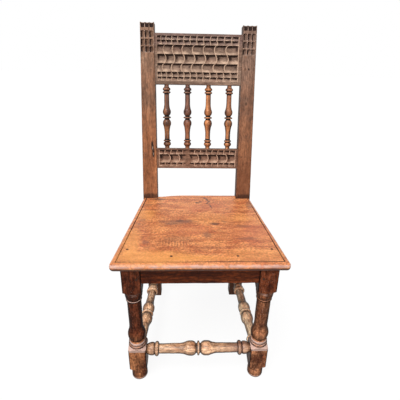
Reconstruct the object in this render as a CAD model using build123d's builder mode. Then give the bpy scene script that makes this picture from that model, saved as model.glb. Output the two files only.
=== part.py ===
from build123d import *
import math
import os

os.makedirs("parts", exist_ok=True)

# A joined side chair of oak, in millimetres: +Z up, front towards -Y, +X to the right of someone
# who looks at its front.  The origin is on the floor, at the middle of the chair's width and depth.

# ---------------------------------------------------------------- overall sizes
chair_height = 1043.0  # floor to the front top corner of the back posts
seat_height = 460.0  # floor to the top of the seat board
leg_spread = 430.0  # over the outer faces of the front legs
post_spread = 398.0  # over the outer faces of the back posts, up to the seat
frame_depth = 400.0  # front faces of the legs to front faces of the posts
rake = 9.6  # lean of the back above the seat, in degrees

# ---------------------------------------------------------------- stock
leg_square = 54.0  # front legs, as sawn
post_width = 53.0  # from the floor to the seat
post_top_width = 46.0  # the outer face slopes in above the seat
post_depth = 42.0
post_bend_radius = 100.0  # the sawn bend at seat height
foot_chamfer = 3.0  # worn bottom arrises of the post feet
scallop_count = 3  # gouge cuts through the top front edge of each post
scallop_radius = 6.3
scallop_pitch = 14.1
scallop_height = 16.0
scallop_depth = 10.0  # at the top of the post

# ---------------------------------------------------------------- seat board
seat_thickness = 25.0
seat_front_overhang = 13.0  # in front of the legs
seat_side_overhang = 27.0  # outside the front legs
seat_rear_overhang = 1.0  # outside the back posts
seat_corner_radius = 13.0  # front corners, in plan
seat_tongue = 26.0  # how far the board runs back between the posts
nosing_top_radius = 8.0
nosing_bottom_radius = 5.0
seat_line_inset = 14.0  # edge of the board to the incised line
seat_line_width = 2.4
seat_line_depth = 1.2
board_clearance = 0.3  # board to posts

# ---------------------------------------------------------------- seat rails
seat_rail_height = 50.0
seat_rail_thickness = 30.0
rail_setback = 4.0  # rail faces behind the faces of legs and posts

# ---------------------------------------------------------------- back rails
crest_rise = 400.5  # seat height to the crest rail's lower edge, along the post
crest_height = 159.5
lower_rail_rise = 112.5  # seat height to the lower back rail's lower edge, along the post
lower_rail_height = 71.0
back_rail_thickness = 24.0
back_rail_setback = 2.0

# ---------------------------------------------------------------- mortise and tenon joints
tenon_thickness = 9.0
tenon_shoulder = 6.0  # above and below each tenon
haunch = 10.0  # solid wood left over a seat rail's tenon
back_tenon_length = 30.0
tenon_gap = 3.0  # wood left between two tenons that meet in one leg
mortise_clearance = 0.2  # at the tenon's cheeks and edges
mortise_end_gap = 1.0  # past the tenon's end

# ---------------------------------------------------------------- pegs
peg_flats = 8  # sides of the shaved pegs
peg_diameter = 8.0  # across the corners
peg_length = 30.0
peg_clearance = 0.1
peg_to_shoulder = 12.0  # peg's centre to the joint's shoulder
peg_stagger = 8.0  # side pegs above, front and rear pegs below the middle of the rail
crest_peg_rises = (52.0, 90.0)  # above the crest rail's lower edge
seat_peg_length = 48.0
front_seat_peg_places = (-79.0, 102.0)  # along the front rail
front_seat_peg_setback = 27.0  # behind the front faces of the legs
side_seat_peg_setback = 6.0  # behind the front legs
side_seat_peg_inset = 12.5  # inside the outer faces of the legs

# ---------------------------------------------------------------- spindles of the back
spindle_count = 4
spindle_pitch = 72.3
spindle_ring_radius = 14.0
spindle_ring_half = 3.5
spindle_neck_radius = 8.3
spindle_bulb_radius = 14.0
spindle_bulb_peak = 17.0  # centre ring to the fullest part of the bulb
spindle_bulb_end = 50.0  # centre ring to the slim end of the bulb
spindle_waist_radius = 8.6
spindle_collar_radius = 13.2
spindle_collar_width = 6.0
spindle_groove_radius = 9.5
spindle_bead_radius = 13.3
spindle_bead_rise = 5.0
spindle_bead_fall = 7.5
spindle_top_neck = 11.5
spindle_bottom_neck = 5.0
spindle_end_radius = 7.4
spindle_tenon_radius = 6.0
spindle_tenon_length = 14.0

# ---------------------------------------------------------------- stretchers
front_stretcher_height = 113.0  # floor to axis
rear_stretcher_height = 113.0
side_stretcher_height = 85.0
side_stretcher_inset = 23.5  # inner faces of the posts to the axis
stretcher_ring_radius = 21.8
stretcher_ring_half = 4.5
stretcher_neck_radius = 15.5
stretcher_bulb_start = 8.0
stretcher_bulb_radius = 22.8
stretcher_bulb_peak = 25.0
stretcher_bulb_end = 56.0
stretcher_shaft_radius = 15.2
stretcher_collar_radius = 22.6
stretcher_collar_width = 10.0
stretcher_bead_radius = 20.6
stretcher_bead_length = 27.0
stretcher_bead_rise = 9.0  # groove to the fullest part of the bead
stretcher_end_radius = 15.5
stretcher_tenon_height = 22.0
stretcher_tenon_thickness = 10.0
stretcher_tenon_root = 6.0  # how deep the tenon is rooted in the end bead

# ---------------------------------------------------------------- turning
turned_flats = 20  # sides of a turned member's section
turning_allowance = 1.5  # wood that the blank has over the fullest part of a turning

# ---------------------------------------------------------------- turning of the front legs
foot_floor_radius = 20.0
foot_radius = 24.0
foot_neck_radius = 21.0
foot_height = 43.0
foot_round = 12.0  # height of the rounding under the foot
block_top = 127.0  # top of the lower block
pummel_slope = 11.0  # height of the turned shoulders of both blocks
leg_ring_radius = 26.0
leg_ring_width = 10.0
leg_ring_groove_radius = 23.2
leg_neck_radius = 20.4
leg_bulb_radius = 26.8
leg_bulb_rise = 15.0  # neck to the fullest part of the bulb
leg_bulb_fall = 36.0  # fullest part of the bulb to the shaft
leg_shaft_radius = 20.8
capital_height = 32.0
capital_radius = 26.2
capital_straight = 12.0  # height of the plain part over the swell
capital_fillet_radius = 22.8
capital_fillet_width = 5.0
top_block_height = 84.0

# ---------------------------------------------------------------- cutting
overcut = 1.0  # how far outside the wood a cut starts

# ---------------------------------------------------------------- places worked out from the sizes
rise_to_top = (chair_height - seat_height) / math.cos(math.radians(rake))
chair_depth = (
    seat_front_overhang
    + frame_depth
    + rise_to_top * math.sin(math.radians(rake))
    + post_depth * math.cos(math.radians(rake))
)
leg_face_y = seat_front_overhang - chair_depth / 2
leg_back_y = leg_face_y + leg_square
leg_centre_y = leg_face_y + leg_square / 2
leg_outer_x = leg_spread / 2
leg_inner_x = leg_outer_x - leg_square
leg_centre_x = leg_outer_x - leg_square / 2
leg_height = seat_height - seat_thickness
post_face_y = leg_face_y + frame_depth
post_back_y = post_face_y + post_depth
post_centre_y = post_face_y + post_depth / 2
post_outer_x = post_spread / 2
post_inner_x = post_outer_x - post_width
post_centre_x = post_outer_x - post_width / 2
post_top_centre_x = post_inner_x + post_top_width / 2
seat_rail_bottom = leg_height - seat_rail_height
seat_rail_middle = leg_height - seat_rail_height / 2
seat_tenon_bottom = seat_rail_bottom + tenon_shoulder
seat_tenon_height = seat_rail_height - tenon_shoulder - haunch
lower_rail_top_rise = lower_rail_rise + lower_rail_height
back_rail_middle = back_rail_setback + back_rail_thickness / 2
spindle_gap = crest_rise - lower_rail_top_rise
seat_front_width = leg_spread + 2 * seat_side_overhang
seat_rear_width = post_spread + 2 * seat_rear_overhang
seat_front_y = leg_face_y - seat_front_overhang
seat_rear_y = post_face_y - board_clearance
seat_line_rear_y = seat_rear_y - seat_line_inset
side_stretcher_rear_x = post_inner_x + side_stretcher_inset
peg_radius = peg_diameter / 2

# The raked front plane of the back: local x to the right, y up along the posts, z to the front.
back_plane = Plane(
    origin=(0, post_face_y, seat_height),
    x_dir=(1, 0, 0),
    z_dir=(0, -math.cos(math.radians(rake)), math.sin(math.radians(rake))),
)


def on_back(x, rise, depth):
    """A point of the back: x across, rise up along the posts, depth behind their front faces."""
    return back_plane.from_local_coords(Vector(x, rise, -depth))


def side_line_x(y, front_x, rear_x):
    """Where a line from the legs' back faces (front_x) to the posts' faces (rear_x) is at y."""
    return front_x + (rear_x - front_x) * (y - leg_back_y) / (post_face_y - leg_back_y)


# ---------------------------------------------------------------- cuts that several pieces share
def cut_box(plane, x, y, width, height, depth):
    """Cut a rectangular pocket, centred at x, y of the plane, going against its normal."""
    with BuildSketch(plane) as mouth:
        with Locations((x, y)):
            Rectangle(width, height)
    extrude(mouth.sketch, amount=-depth, mode=Mode.SUBTRACT)


def cut_outline(plane, corners, depth):
    """Cut a pocket of any outline, going along the plane's normal."""
    with BuildSketch(plane) as mouth:
        with BuildLine():
            Polyline(*corners, close=True)
        make_face()
    extrude(mouth.sketch, amount=depth, mode=Mode.SUBTRACT)


def cut_peg_hole(place, length):
    """Bore a hole at a peg's place; the peg's corners press their shape into it."""
    with BuildSketch(place) as mouth:
        RegularPolygon(peg_radius + peg_clearance, peg_flats)
    extrude(mouth.sketch, amount=-length, mode=Mode.SUBTRACT)


def cut_spindle_socket(x, rise, direction):
    """Bore the round socket of a spindle's tenon into a back rail, up (1) or down (-1)."""
    mouth_place = Plane(origin=on_back(x, rise, back_rail_middle), z_dir=back_plane.y_dir * direction)
    with BuildSketch(mouth_place) as mouth:
        RegularPolygon(spindle_tenon_radius + peg_clearance, turned_flats)
    extrude(mouth.sketch, amount=spindle_tenon_length + mortise_end_gap, mode=Mode.SUBTRACT)


def cut_scallop(x):
    """Cut down through a post's top front edge with a round gouge, until it runs out on the face."""
    run_out = on_back(x, rise_to_top - scallop_height, 0)
    gouge = Plane(
        origin=run_out,
        x_dir=back_plane.x_dir,
        z_dir=on_back(x, rise_to_top, scallop_depth) - run_out,
    )
    with BuildSketch(gouge) as mouth:
        with Locations((0, -scallop_radius)):
            Circle(scallop_radius)
    extrude(mouth.sketch, amount=2 * scallop_height, mode=Mode.SUBTRACT)


# ---------------------------------------------------------------- where the pegs go
def peg_place(point, outward):
    """The plane of a peg's head: its normal points out of the wood."""
    return Plane(origin=point, z_dir=outward)


def crest_peg_places(side):
    x = side * (post_inner_x + peg_to_shoulder)
    return [peg_place(on_back(x, crest_rise + rise, 0), back_plane.z_dir) for rise in crest_peg_rises]


def lower_rail_peg_place(side):
    x = side * (post_inner_x + peg_to_shoulder)
    rise = lower_rail_rise + lower_rail_height / 2
    return peg_place(on_back(x, rise, 0), back_plane.z_dir)


def front_rail_peg_place(side):
    x = side * (leg_inner_x + peg_to_shoulder)
    return peg_place((x, leg_face_y, seat_rail_middle - peg_stagger), (0, -1, 0))


def rear_rail_peg_place(side):
    x = side * (post_inner_x + peg_to_shoulder)
    return peg_place((x, post_back_y, seat_rail_middle - peg_stagger), (0, 1, 0))


def side_rail_front_peg_place(side):
    y = leg_back_y - peg_to_shoulder
    return peg_place((side * leg_outer_x, y, seat_rail_middle + peg_stagger), (side, 0, 0))


def side_rail_rear_peg_place(side):
    y = post_face_y + peg_to_shoulder
    return peg_place((side * post_outer_x, y, seat_rail_middle + peg_stagger), (side, 0, 0))


def side_seat_peg_place(side):
    x = side * (leg_outer_x - side_seat_peg_inset)
    return peg_place((x, leg_back_y + side_seat_peg_setback, seat_height), (0, 0, 1))


def front_seat_peg_place(x):
    return peg_place((x, leg_face_y + front_seat_peg_setback, seat_height), (0, 0, 1))


# ---------------------------------------------------------------- side rails, as lines in plan
side_rail_front_x = leg_outer_x - rail_setback - seat_rail_thickness / 2
side_rail_rear_x = post_outer_x - rail_setback - seat_rail_thickness / 2
leg_tenon_length = (
    leg_square - rail_setback - seat_rail_thickness / 2 - tenon_thickness / 2 - tenon_gap
)
side_tenon_rear_y = post_face_y + leg_tenon_length
rear_tenon_end_x = (
    side_line_x(side_tenon_rear_y, side_rail_front_x, side_rail_rear_x)
    - tenon_thickness / 2
    - tenon_gap
)
rear_rail_middle_y = post_back_y - rail_setback - seat_rail_thickness / 2
front_rail_middle_y = leg_face_y + rail_setback + seat_rail_thickness / 2


def side_strip(thickness, front_y, rear_y):
    """Plan outline of a strip along the right side rail's middle line, cut square to the chair."""
    corners = []
    for y, edge in ((front_y, -1), (front_y, 1), (rear_y, 1), (rear_y, -1)):
        middle = side_line_x(y, side_rail_front_x, side_rail_rear_x)
        corners.append((middle + edge * thickness / 2, y))
    return corners


# ---------------------------------------------------------------- stretchers, as axes
def stretcher_axis(start, end):
    """The plane through a stretcher: local x along it, local y across and level, z up."""
    middle = (Vector(*start) + Vector(*end)) / 2
    return Plane(origin=middle, x_dir=Vector(*end) - Vector(*start), z_dir=(0, 0, 1))


side_stretcher_ends = (
    (leg_centre_x, leg_back_y, side_stretcher_height),
    (side_stretcher_rear_x, post_face_y, side_stretcher_height),
)
front_stretcher_ends = (
    (-leg_inner_x, leg_centre_y, front_stretcher_height),
    (leg_inner_x, leg_centre_y, front_stretcher_height),
)
rear_stretcher_ends = (
    (-post_inner_x, post_centre_y, rear_stretcher_height),
    (post_inner_x, post_centre_y, rear_stretcher_height),
)
# from each end's shoulder to the axis of the stretcher that crosses there
side_crossings = (leg_square / 2, post_depth / 2)
front_crossings = (leg_square / 2, leg_square / 2)
rear_crossings = (side_stretcher_inset, side_stretcher_inset)


def stretcher_tenon_length(to_crossing):
    """A stretcher's tenon stops short of the one that crosses it, whose axis is to_crossing away."""
    return to_crossing - stretcher_tenon_thickness / 2 - tenon_gap


def cut_stretcher_mortises(ends, to_crossings):
    """Cut the mortises at both ends of a stretcher, each a clearance larger than its tenon."""
    axis = stretcher_axis(*ends)
    half = (Vector(*ends[1]) - Vector(*ends[0])).length / 2
    wide = stretcher_tenon_thickness + 2 * mortise_clearance
    tall = stretcher_tenon_height + 2 * mortise_clearance
    for way, to_crossing in zip((-1, 1), to_crossings):
        reach = stretcher_tenon_length(to_crossing) + mortise_end_gap
        root = stretcher_tenon_root
        cut_box(axis.offset(tall / 2), way * (half + (reach - root) / 2), 0, reach + root, wide, tall)


# ---------------------------------------------------------------- turned outlines
def swell(start, start_radius, peak, peak_radius):
    """A quarter of an ellipse in two chords, from a neck up to the fullest part of a bulb."""
    half_way = math.sin(math.radians(45))
    return [
        (start, start_radius),
        (peak - (peak - start) * half_way, start_radius + (peak_radius - start_radius) * half_way),
        (peak, peak_radius),
    ]


def stretcher_half(half_length):
    """Outline from the centre ring to one end: distance from the middle and radius."""
    bead_start = half_length - stretcher_bead_length
    collar_start = bead_start - stretcher_collar_width
    collar_middle = bead_start - stretcher_collar_width / 2
    bead_peak = bead_start + stretcher_bead_rise
    return [
        (stretcher_ring_half / 2, stretcher_ring_radius),
        (stretcher_ring_half, stretcher_neck_radius),
        *swell(
            stretcher_bulb_start, stretcher_neck_radius, stretcher_bulb_peak, stretcher_bulb_radius
        ),
        (stretcher_bulb_end, stretcher_shaft_radius),
        (collar_start, stretcher_shaft_radius),
        (collar_middle, stretcher_collar_radius),
        (bead_start, stretcher_shaft_radius + (stretcher_bead_radius - stretcher_shaft_radius) / 2),
        (bead_peak, stretcher_bead_radius),
        (half_length, stretcher_end_radius),
    ]


def spindle_half(half_length, neck_length):
    """Outline from the centre ring to one shoulder: distance from the middle and radius."""
    bead_end = half_length - neck_length
    bead_peak = bead_end - spindle_bead_fall
    bead_start = bead_peak - spindle_bead_rise
    collar_start = bead_start - spindle_collar_width
    collar_middle = bead_start - spindle_collar_width / 2
    return [
        (0, spindle_ring_radius),
        (spindle_ring_half, spindle_neck_radius),
        *swell(spindle_ring_half, spindle_neck_radius, spindle_bulb_peak, spindle_bulb_radius)[1:],
        (spindle_bulb_end, spindle_waist_radius),
        (collar_start, spindle_waist_radius),
        (collar_middle, spindle_collar_radius),
        (bead_start, spindle_groove_radius),
        (bead_peak, spindle_bead_radius),
        (half_length, spindle_end_radius),
    ]


def both_halves(near_half, far_half):
    """One outline from end to end of two halves that meet at the centre ring."""
    near = [(-distance, radius) for distance, radius in reversed(near_half) if distance > 0]
    return near + far_half


def turn(lathe, outline):
    """Cut the blank under way down to a turned outline, along the lathe's x: distance and radius.

    The section is a regular polygon, so the same silhouette is cut from each side in turn.
    """
    reach = max(radius for distance, radius in outline) + 2 * turning_allowance
    silhouette = outline + [(distance, -radius) for distance, radius in reversed(outline)]
    for number in range(turned_flats // 2):
        angle = math.radians(number * 360 / turned_flats)
        view = Plane(
            origin=lathe.origin,
            x_dir=lathe.x_dir,
            z_dir=lathe.z_dir * math.cos(angle) + lathe.y_dir * math.sin(angle),
        )
        with BuildSketch(view) as side_view:
            with BuildLine():
                Polyline(*silhouette, close=True)
            make_face()
        extrude(side_view.sketch, amount=reach, both=True, mode=Mode.INTERSECT)


def save(piece, name):
    """Label a finished piece and write it under its own name."""
    piece.label = name
    export_step(piece, f"parts/{name}.step")


def save_pair(piece, name):
    """Write a right-hand piece and its mirror image on the left."""
    save(piece, f"right_{name}")
    with BuildPart() as other:
        add(piece)
        mirror(about=Plane.YZ, mode=Mode.REPLACE)
    save(other.part, f"left_{name}")


# ---------------------------------------------------------------- front legs
def front_leg():
    """Turned between two square blocks, which take the tenons of rails and stretchers."""
    corner_radius = leg_square / math.sqrt(2) + turning_allowance
    top_block = leg_height - top_block_height
    ring_bottom = block_top + pummel_slope / 2
    ring_middle = ring_bottom + leg_ring_width
    ring_top = ring_middle + leg_ring_width
    neck = ring_top + leg_ring_width / 2
    bulb_peak = neck + leg_bulb_rise
    capital_bottom = top_block - capital_height
    outline = [
        (0, foot_floor_radius),
        (foot_round, foot_radius),
        (foot_height - foot_round, foot_radius),
        (foot_height, foot_neck_radius),
        (foot_height + pummel_slope, corner_radius),
        (block_top - pummel_slope / 2, corner_radius),
        (ring_bottom, leg_ring_radius),
        (ring_middle, leg_ring_groove_radius),
        (ring_middle + leg_ring_width / 2, leg_ring_radius),
        (ring_top, leg_ring_radius),
        *swell(neck, leg_neck_radius, bulb_peak, leg_bulb_radius),
        (bulb_peak + leg_bulb_fall / 2, (leg_bulb_radius + leg_shaft_radius) / 2),
        (bulb_peak + leg_bulb_fall, leg_shaft_radius),
        (capital_bottom, leg_shaft_radius),
        (capital_bottom + capital_fillet_width / 2, capital_fillet_radius),
        (capital_bottom + capital_fillet_width, leg_shaft_radius),
        (top_block - capital_straight, capital_radius),
        (top_block, capital_radius),
        (top_block + pummel_slope, corner_radius),
        (leg_height, corner_radius),
    ]
    foot_centre = (leg_centre_x, leg_centre_y, 0)
    with BuildPart() as leg:
        with BuildSketch(Plane(origin=foot_centre)):
            Rectangle(leg_square, leg_square)
        extrude(amount=leg_height)
        turn(Plane(origin=foot_centre, x_dir=(0, 0, 1), z_dir=(0, -1, 0)), outline)

        cut_box(
            Plane.XY.offset(seat_tenon_bottom + seat_tenon_height + mortise_clearance),
            leg_inner_x + (leg_tenon_length + mortise_end_gap) / 2,
            front_rail_middle_y,
            leg_tenon_length + mortise_end_gap,
            tenon_thickness + 2 * mortise_clearance,
            seat_tenon_height + 2 * mortise_clearance,
        )
        cut_outline(
            Plane.XY.offset(seat_tenon_bottom - mortise_clearance),
            side_strip(
                tenon_thickness + 2 * mortise_clearance,
                leg_back_y - leg_tenon_length - mortise_end_gap,
                leg_back_y + overcut,
            ),
            seat_tenon_height + 2 * mortise_clearance,
        )
        cut_stretcher_mortises(front_stretcher_ends, front_crossings)
        cut_stretcher_mortises(side_stretcher_ends, side_crossings)
        cut_peg_hole(front_rail_peg_place(1), peg_length)
        cut_peg_hole(side_rail_front_peg_place(1), peg_length)
    return leg.part


# ---------------------------------------------------------------- back posts
def back_post():
    """One sawn piece from floor to top: upright as a leg, then leaning back above the seat."""
    top_front = on_back(0, rise_to_top, 0)
    top_rear = on_back(0, rise_to_top, post_depth)
    outline = [
        (post_face_y, 0),
        (post_face_y, seat_height),
        (top_front.Y, top_front.Z),
        (top_rear.Y, top_rear.Z),
        (post_back_y, seat_height - post_depth * math.tan(math.radians(rake / 2))),
        (post_back_y, 0),
    ]
    slope = (post_width - post_top_width) / rise_to_top
    taper = [
        (post_outer_x, 0),
        (post_outer_x + overcut, 0),
        (post_outer_x + overcut, rise_to_top + overcut),
        (post_outer_x - slope * (rise_to_top + overcut), rise_to_top + overcut),
    ]
    back_tenon_reach = back_tenon_length + mortise_end_gap
    rear_tenon_reach = rear_tenon_end_x + mortise_end_gap - post_inner_x
    with BuildPart() as post:
        with BuildSketch(Plane.YZ.offset(post_centre_x)):
            with BuildLine():
                Polyline(*outline, close=True)
            make_face()
            bends = vertices().sort_by(Axis.Y)[2:4]
            fillet(bends, post_bend_radius)
        extrude(amount=post_width / 2, both=True)
        chamfer(faces().sort_by(Axis.Z)[0].edges(), foot_chamfer)
        cut_outline(back_plane.offset(-post_depth - overcut), taper, post_depth + 2 * overcut)
        for number in range(scallop_count):
            cut_scallop(post_top_centre_x + (number - (scallop_count - 1) / 2) * scallop_pitch)

        mortise_face = back_plane.offset(
            mortise_clearance - back_rail_middle + tenon_thickness / 2
        )
        for bottom, height in ((crest_rise, crest_height), (lower_rail_rise, lower_rail_height)):
            cut_box(
                mortise_face,
                post_inner_x + back_tenon_reach / 2,
                bottom + height / 2,
                back_tenon_reach,
                height - 2 * tenon_shoulder + 2 * mortise_clearance,
                tenon_thickness + 2 * mortise_clearance,
            )
        cut_outline(
            Plane.XY.offset(seat_tenon_bottom - mortise_clearance),
            side_strip(
                tenon_thickness + 2 * mortise_clearance,
                post_face_y - overcut,
                side_tenon_rear_y + mortise_end_gap,
            ),
            seat_tenon_height + 2 * mortise_clearance,
        )
        cut_box(
            Plane.XY.offset(seat_tenon_bottom + seat_tenon_height + mortise_clearance),
            post_inner_x + rear_tenon_reach / 2,
            rear_rail_middle_y,
            rear_tenon_reach,
            tenon_thickness + 2 * mortise_clearance,
            seat_tenon_height + 2 * mortise_clearance,
        )
        cut_stretcher_mortises(rear_stretcher_ends, rear_crossings)
        cut_stretcher_mortises(side_stretcher_ends, side_crossings)
        for place in crest_peg_places(1):
            cut_peg_hole(place, peg_length)
        cut_peg_hole(lower_rail_peg_place(1), peg_length)
        cut_peg_hole(side_rail_rear_peg_place(1), peg_length)
        cut_peg_hole(rear_rail_peg_place(1), peg_length)
    return post.part


# ---------------------------------------------------------------- rails of the back
def back_rail(bottom, height, sockets_at, socket_direction, peg_places):
    """A rail between the posts, in the plane of the back, tenoned at both ends."""
    middle = bottom + height / 2
    with BuildPart() as rail:
        with BuildSketch(back_plane.offset(-back_rail_setback)):
            with Locations((0, middle)):
                Rectangle(2 * post_inner_x, height)
        extrude(amount=-back_rail_thickness)
        with BuildSketch(back_plane.offset(tenon_thickness / 2 - back_rail_middle)):
            with Locations((0, middle)):
                Rectangle(2 * (post_inner_x + back_tenon_length), height - 2 * tenon_shoulder)
        extrude(amount=-tenon_thickness)
        for x in spindle_places:
            cut_spindle_socket(x, sockets_at, socket_direction)
        for place in peg_places:
            cut_peg_hole(place, peg_length)
    return rail.part


# ---------------------------------------------------------------- spindles
def back_spindle():
    """A small double baluster on the middle line of the back, with a round tenon at each end."""
    half = spindle_gap / 2
    centre = on_back(0, lower_rail_top_rise + half, back_rail_middle)
    blank = 2 * (max(spindle_ring_radius, spindle_bulb_radius) + turning_allowance)
    outline = both_halves(
        spindle_half(half, spindle_bottom_neck), spindle_half(half, spindle_top_neck)
    )
    with BuildPart() as spindle:
        with BuildSketch(Plane(origin=centre, x_dir=(1, 0, 0), z_dir=back_plane.y_dir)):
            Rectangle(blank, blank)
        extrude(amount=half, both=True)
        turn(Plane(origin=centre, x_dir=back_plane.y_dir, z_dir=back_plane.z_dir), outline)
        with BuildSketch(Plane(origin=centre, x_dir=(1, 0, 0), z_dir=back_plane.y_dir)):
            RegularPolygon(spindle_tenon_radius, turned_flats)
        extrude(amount=half + spindle_tenon_length, both=True)
    return spindle.part


# ---------------------------------------------------------------- rails under the seat
def cross_rail(inner_x, tenon_end_x, middle_y, peg_places, seat_peg_places):
    """The front or rear seat rail: a plain board on edge, tenoned at both ends."""
    with BuildPart() as rail:
        with BuildSketch(Plane.XY.offset(seat_rail_bottom)):
            with Locations((0, middle_y)):
                Rectangle(2 * inner_x, seat_rail_thickness)
        extrude(amount=seat_rail_height)
        with BuildSketch(Plane.XY.offset(seat_tenon_bottom)):
            with Locations((0, middle_y)):
                Rectangle(2 * tenon_end_x, tenon_thickness)
        extrude(amount=seat_tenon_height)
        for place in peg_places:
            cut_peg_hole(place, peg_length)
        for place in seat_peg_places:
            cut_peg_hole(place, seat_peg_length)
    return rail.part


def side_rail():
    """A side seat rail, set at the splay between the wide front and the narrow back."""
    body = side_strip(seat_rail_thickness, leg_back_y, post_face_y)
    tongue = side_strip(tenon_thickness, leg_back_y - leg_tenon_length, side_tenon_rear_y)
    with BuildPart() as rail:
        with BuildSketch(Plane.XY.offset(seat_rail_bottom)):
            with BuildLine():
                Polyline(*body, close=True)
            make_face()
        extrude(amount=seat_rail_height)
        with BuildSketch(Plane.XY.offset(seat_tenon_bottom)):
            with BuildLine():
                Polyline(*tongue, close=True)
            make_face()
        extrude(amount=seat_tenon_height)
        cut_peg_hole(side_rail_front_peg_place(1), peg_length)
        cut_peg_hole(side_rail_rear_peg_place(1), peg_length)
        cut_peg_hole(side_seat_peg_place(1), seat_peg_length)
    return rail.part


# ---------------------------------------------------------------- stretchers
def stretcher(ends, face_normal, to_crossings):
    """A turned double baluster between two legs, its ends cut to sit flat on their faces."""
    start, end = (Vector(*point) for point in ends)
    axis = stretcher_axis(*ends)
    half = (end - start).length / 2
    splay = (end - start).get_angle(Vector(*face_normal))
    trim = turning_allowance + stretcher_bead_radius * math.tan(math.radians(splay))
    half_outline = stretcher_half(half) + [(half + trim, stretcher_end_radius)]
    blank = 2 * (max(stretcher_bulb_radius, stretcher_collar_radius) + turning_allowance)
    with BuildPart() as bar:
        with BuildSketch(Plane(origin=axis.origin, x_dir=axis.y_dir, z_dir=axis.x_dir)):
            Rectangle(blank, blank)
        extrude(amount=half + trim, both=True)
        turn(axis, both_halves(half_outline, half_outline))
        split(bisect_by=Plane(origin=start, z_dir=face_normal), keep=Keep.TOP)
        split(bisect_by=Plane(origin=end, z_dir=face_normal), keep=Keep.BOTTOM)
        for way, to_crossing in zip((-1, 1), to_crossings):
            reach = stretcher_tenon_length(to_crossing)
            with BuildSketch(axis.offset(-stretcher_tenon_height / 2)):
                with Locations((way * (half + (reach - stretcher_tenon_root) / 2), 0)):
                    Rectangle(reach + stretcher_tenon_root, stretcher_tenon_thickness)
            extrude(amount=stretcher_tenon_height)
    return bar.part


# ---------------------------------------------------------------- seat board
def seat_line_corners(inset):
    """The incised line's path at an inset from the front and side edges of the board."""
    slope = (seat_front_width - seat_rear_width) / 2 / (seat_rear_y - seat_front_y)
    front_x = seat_front_width / 2 - inset * (1 + slope)
    rear_x = front_x - slope * (seat_line_rear_y - seat_front_y - inset)
    return [
        (rear_x, seat_line_rear_y),
        (front_x, seat_front_y + inset),
        (-front_x, seat_front_y + inset),
        (-rear_x, seat_line_rear_y),
    ]


def seat_board():
    """One wide board on the rails, notched round the posts, with a rounded edge and a cut line."""
    tongue_x = post_inner_x - board_clearance
    tongue_y = post_face_y + seat_tongue
    outline = [
        (-seat_front_width / 2, seat_front_y),
        (seat_front_width / 2, seat_front_y),
        (seat_rear_width / 2, seat_rear_y),
        (tongue_x, seat_rear_y),
        (tongue_x, tongue_y),
        (-tongue_x, tongue_y),
        (-tongue_x, seat_rear_y),
        (-seat_rear_width / 2, seat_rear_y),
    ]
    line = seat_line_corners(seat_line_inset)
    line += reversed(seat_line_corners(seat_line_inset + seat_line_width))
    with BuildPart() as board:
        with BuildSketch(Plane.XY.offset(leg_height)):
            with BuildLine():
                Polyline(*outline, close=True)
            make_face()
        extrude(amount=seat_thickness)
        fillet(edges().filter_by(Axis.Z).group_by(Axis.Y)[0], seat_corner_radius)
        for level, radius in ((-1, nosing_top_radius), (0, nosing_bottom_radius)):
            rim = edges().filter_by(Plane.XY).group_by(Axis.Z)[level]
            fillet(rim.filter_by_position(Axis.Y, seat_front_y, seat_rear_y - overcut), radius)
        cut_outline(Plane.XY.offset(seat_height - seat_line_depth), line, seat_line_depth)
        for place in seat_peg_heads:
            cut_peg_hole(place, seat_peg_length)
    return board.part


# ---------------------------------------------------------------- pegs
def peg_group(places, length):
    """Shaved octagonal pegs, driven flush; one separate solid for each place."""
    with BuildPart() as pegs:
        for place in places:
            with BuildSketch(place):
                RegularPolygon(peg_radius, peg_flats)
            extrude(amount=-length)
    return pegs.part


# ---------------------------------------------------------------- the frame of legs and rails
both_sides = (-1, 1)
front_rail_pegs = [front_rail_peg_place(side) for side in both_sides]
rear_rail_pegs = [rear_rail_peg_place(side) for side in both_sides]
front_seat_pegs = [front_seat_peg_place(x) for x in front_seat_peg_places]
seat_peg_heads = front_seat_pegs + [side_seat_peg_place(side) for side in both_sides]

save_pair(front_leg(), "front_leg")
save_pair(back_post(), "back_post")
save_pair(side_rail(), "seat_rail")
save_pair(stretcher(side_stretcher_ends, (0, 1, 0), side_crossings), "stretcher")
save(
    cross_rail(
        leg_inner_x,
        leg_inner_x + leg_tenon_length,
        front_rail_middle_y,
        front_rail_pegs,
        front_seat_pegs,
    ),
    "front_seat_rail",
)
save(
    cross_rail(post_inner_x, rear_tenon_end_x, rear_rail_middle_y, rear_rail_pegs, []),
    "rear_seat_rail",
)
save(stretcher(front_stretcher_ends, (1, 0, 0), front_crossings), "front_stretcher")
save(stretcher(rear_stretcher_ends, (1, 0, 0), rear_crossings), "rear_stretcher")
save(seat_board(), "seat_board")

# ---------------------------------------------------------------- the back
spindle_places = [
    (number - (spindle_count - 1) / 2) * spindle_pitch for number in range(spindle_count)
]
crest_pegs = crest_peg_places(-1) + crest_peg_places(1)
lower_rail_pegs = [lower_rail_peg_place(side) for side in both_sides]

save(back_rail(crest_rise, crest_height, crest_rise, 1, crest_pegs), "crest_rail")
save(
    back_rail(lower_rail_rise, lower_rail_height, lower_rail_top_rise, -1, lower_rail_pegs),
    "lower_back_rail",
)
turned_spindle = back_spindle()
for number, x in enumerate(spindle_places, start=1):
    with BuildPart() as spindle:
        with Locations((x, 0, 0)):
            add(turned_spindle)
    save(spindle.part, f"back_spindle_{number}")

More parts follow.
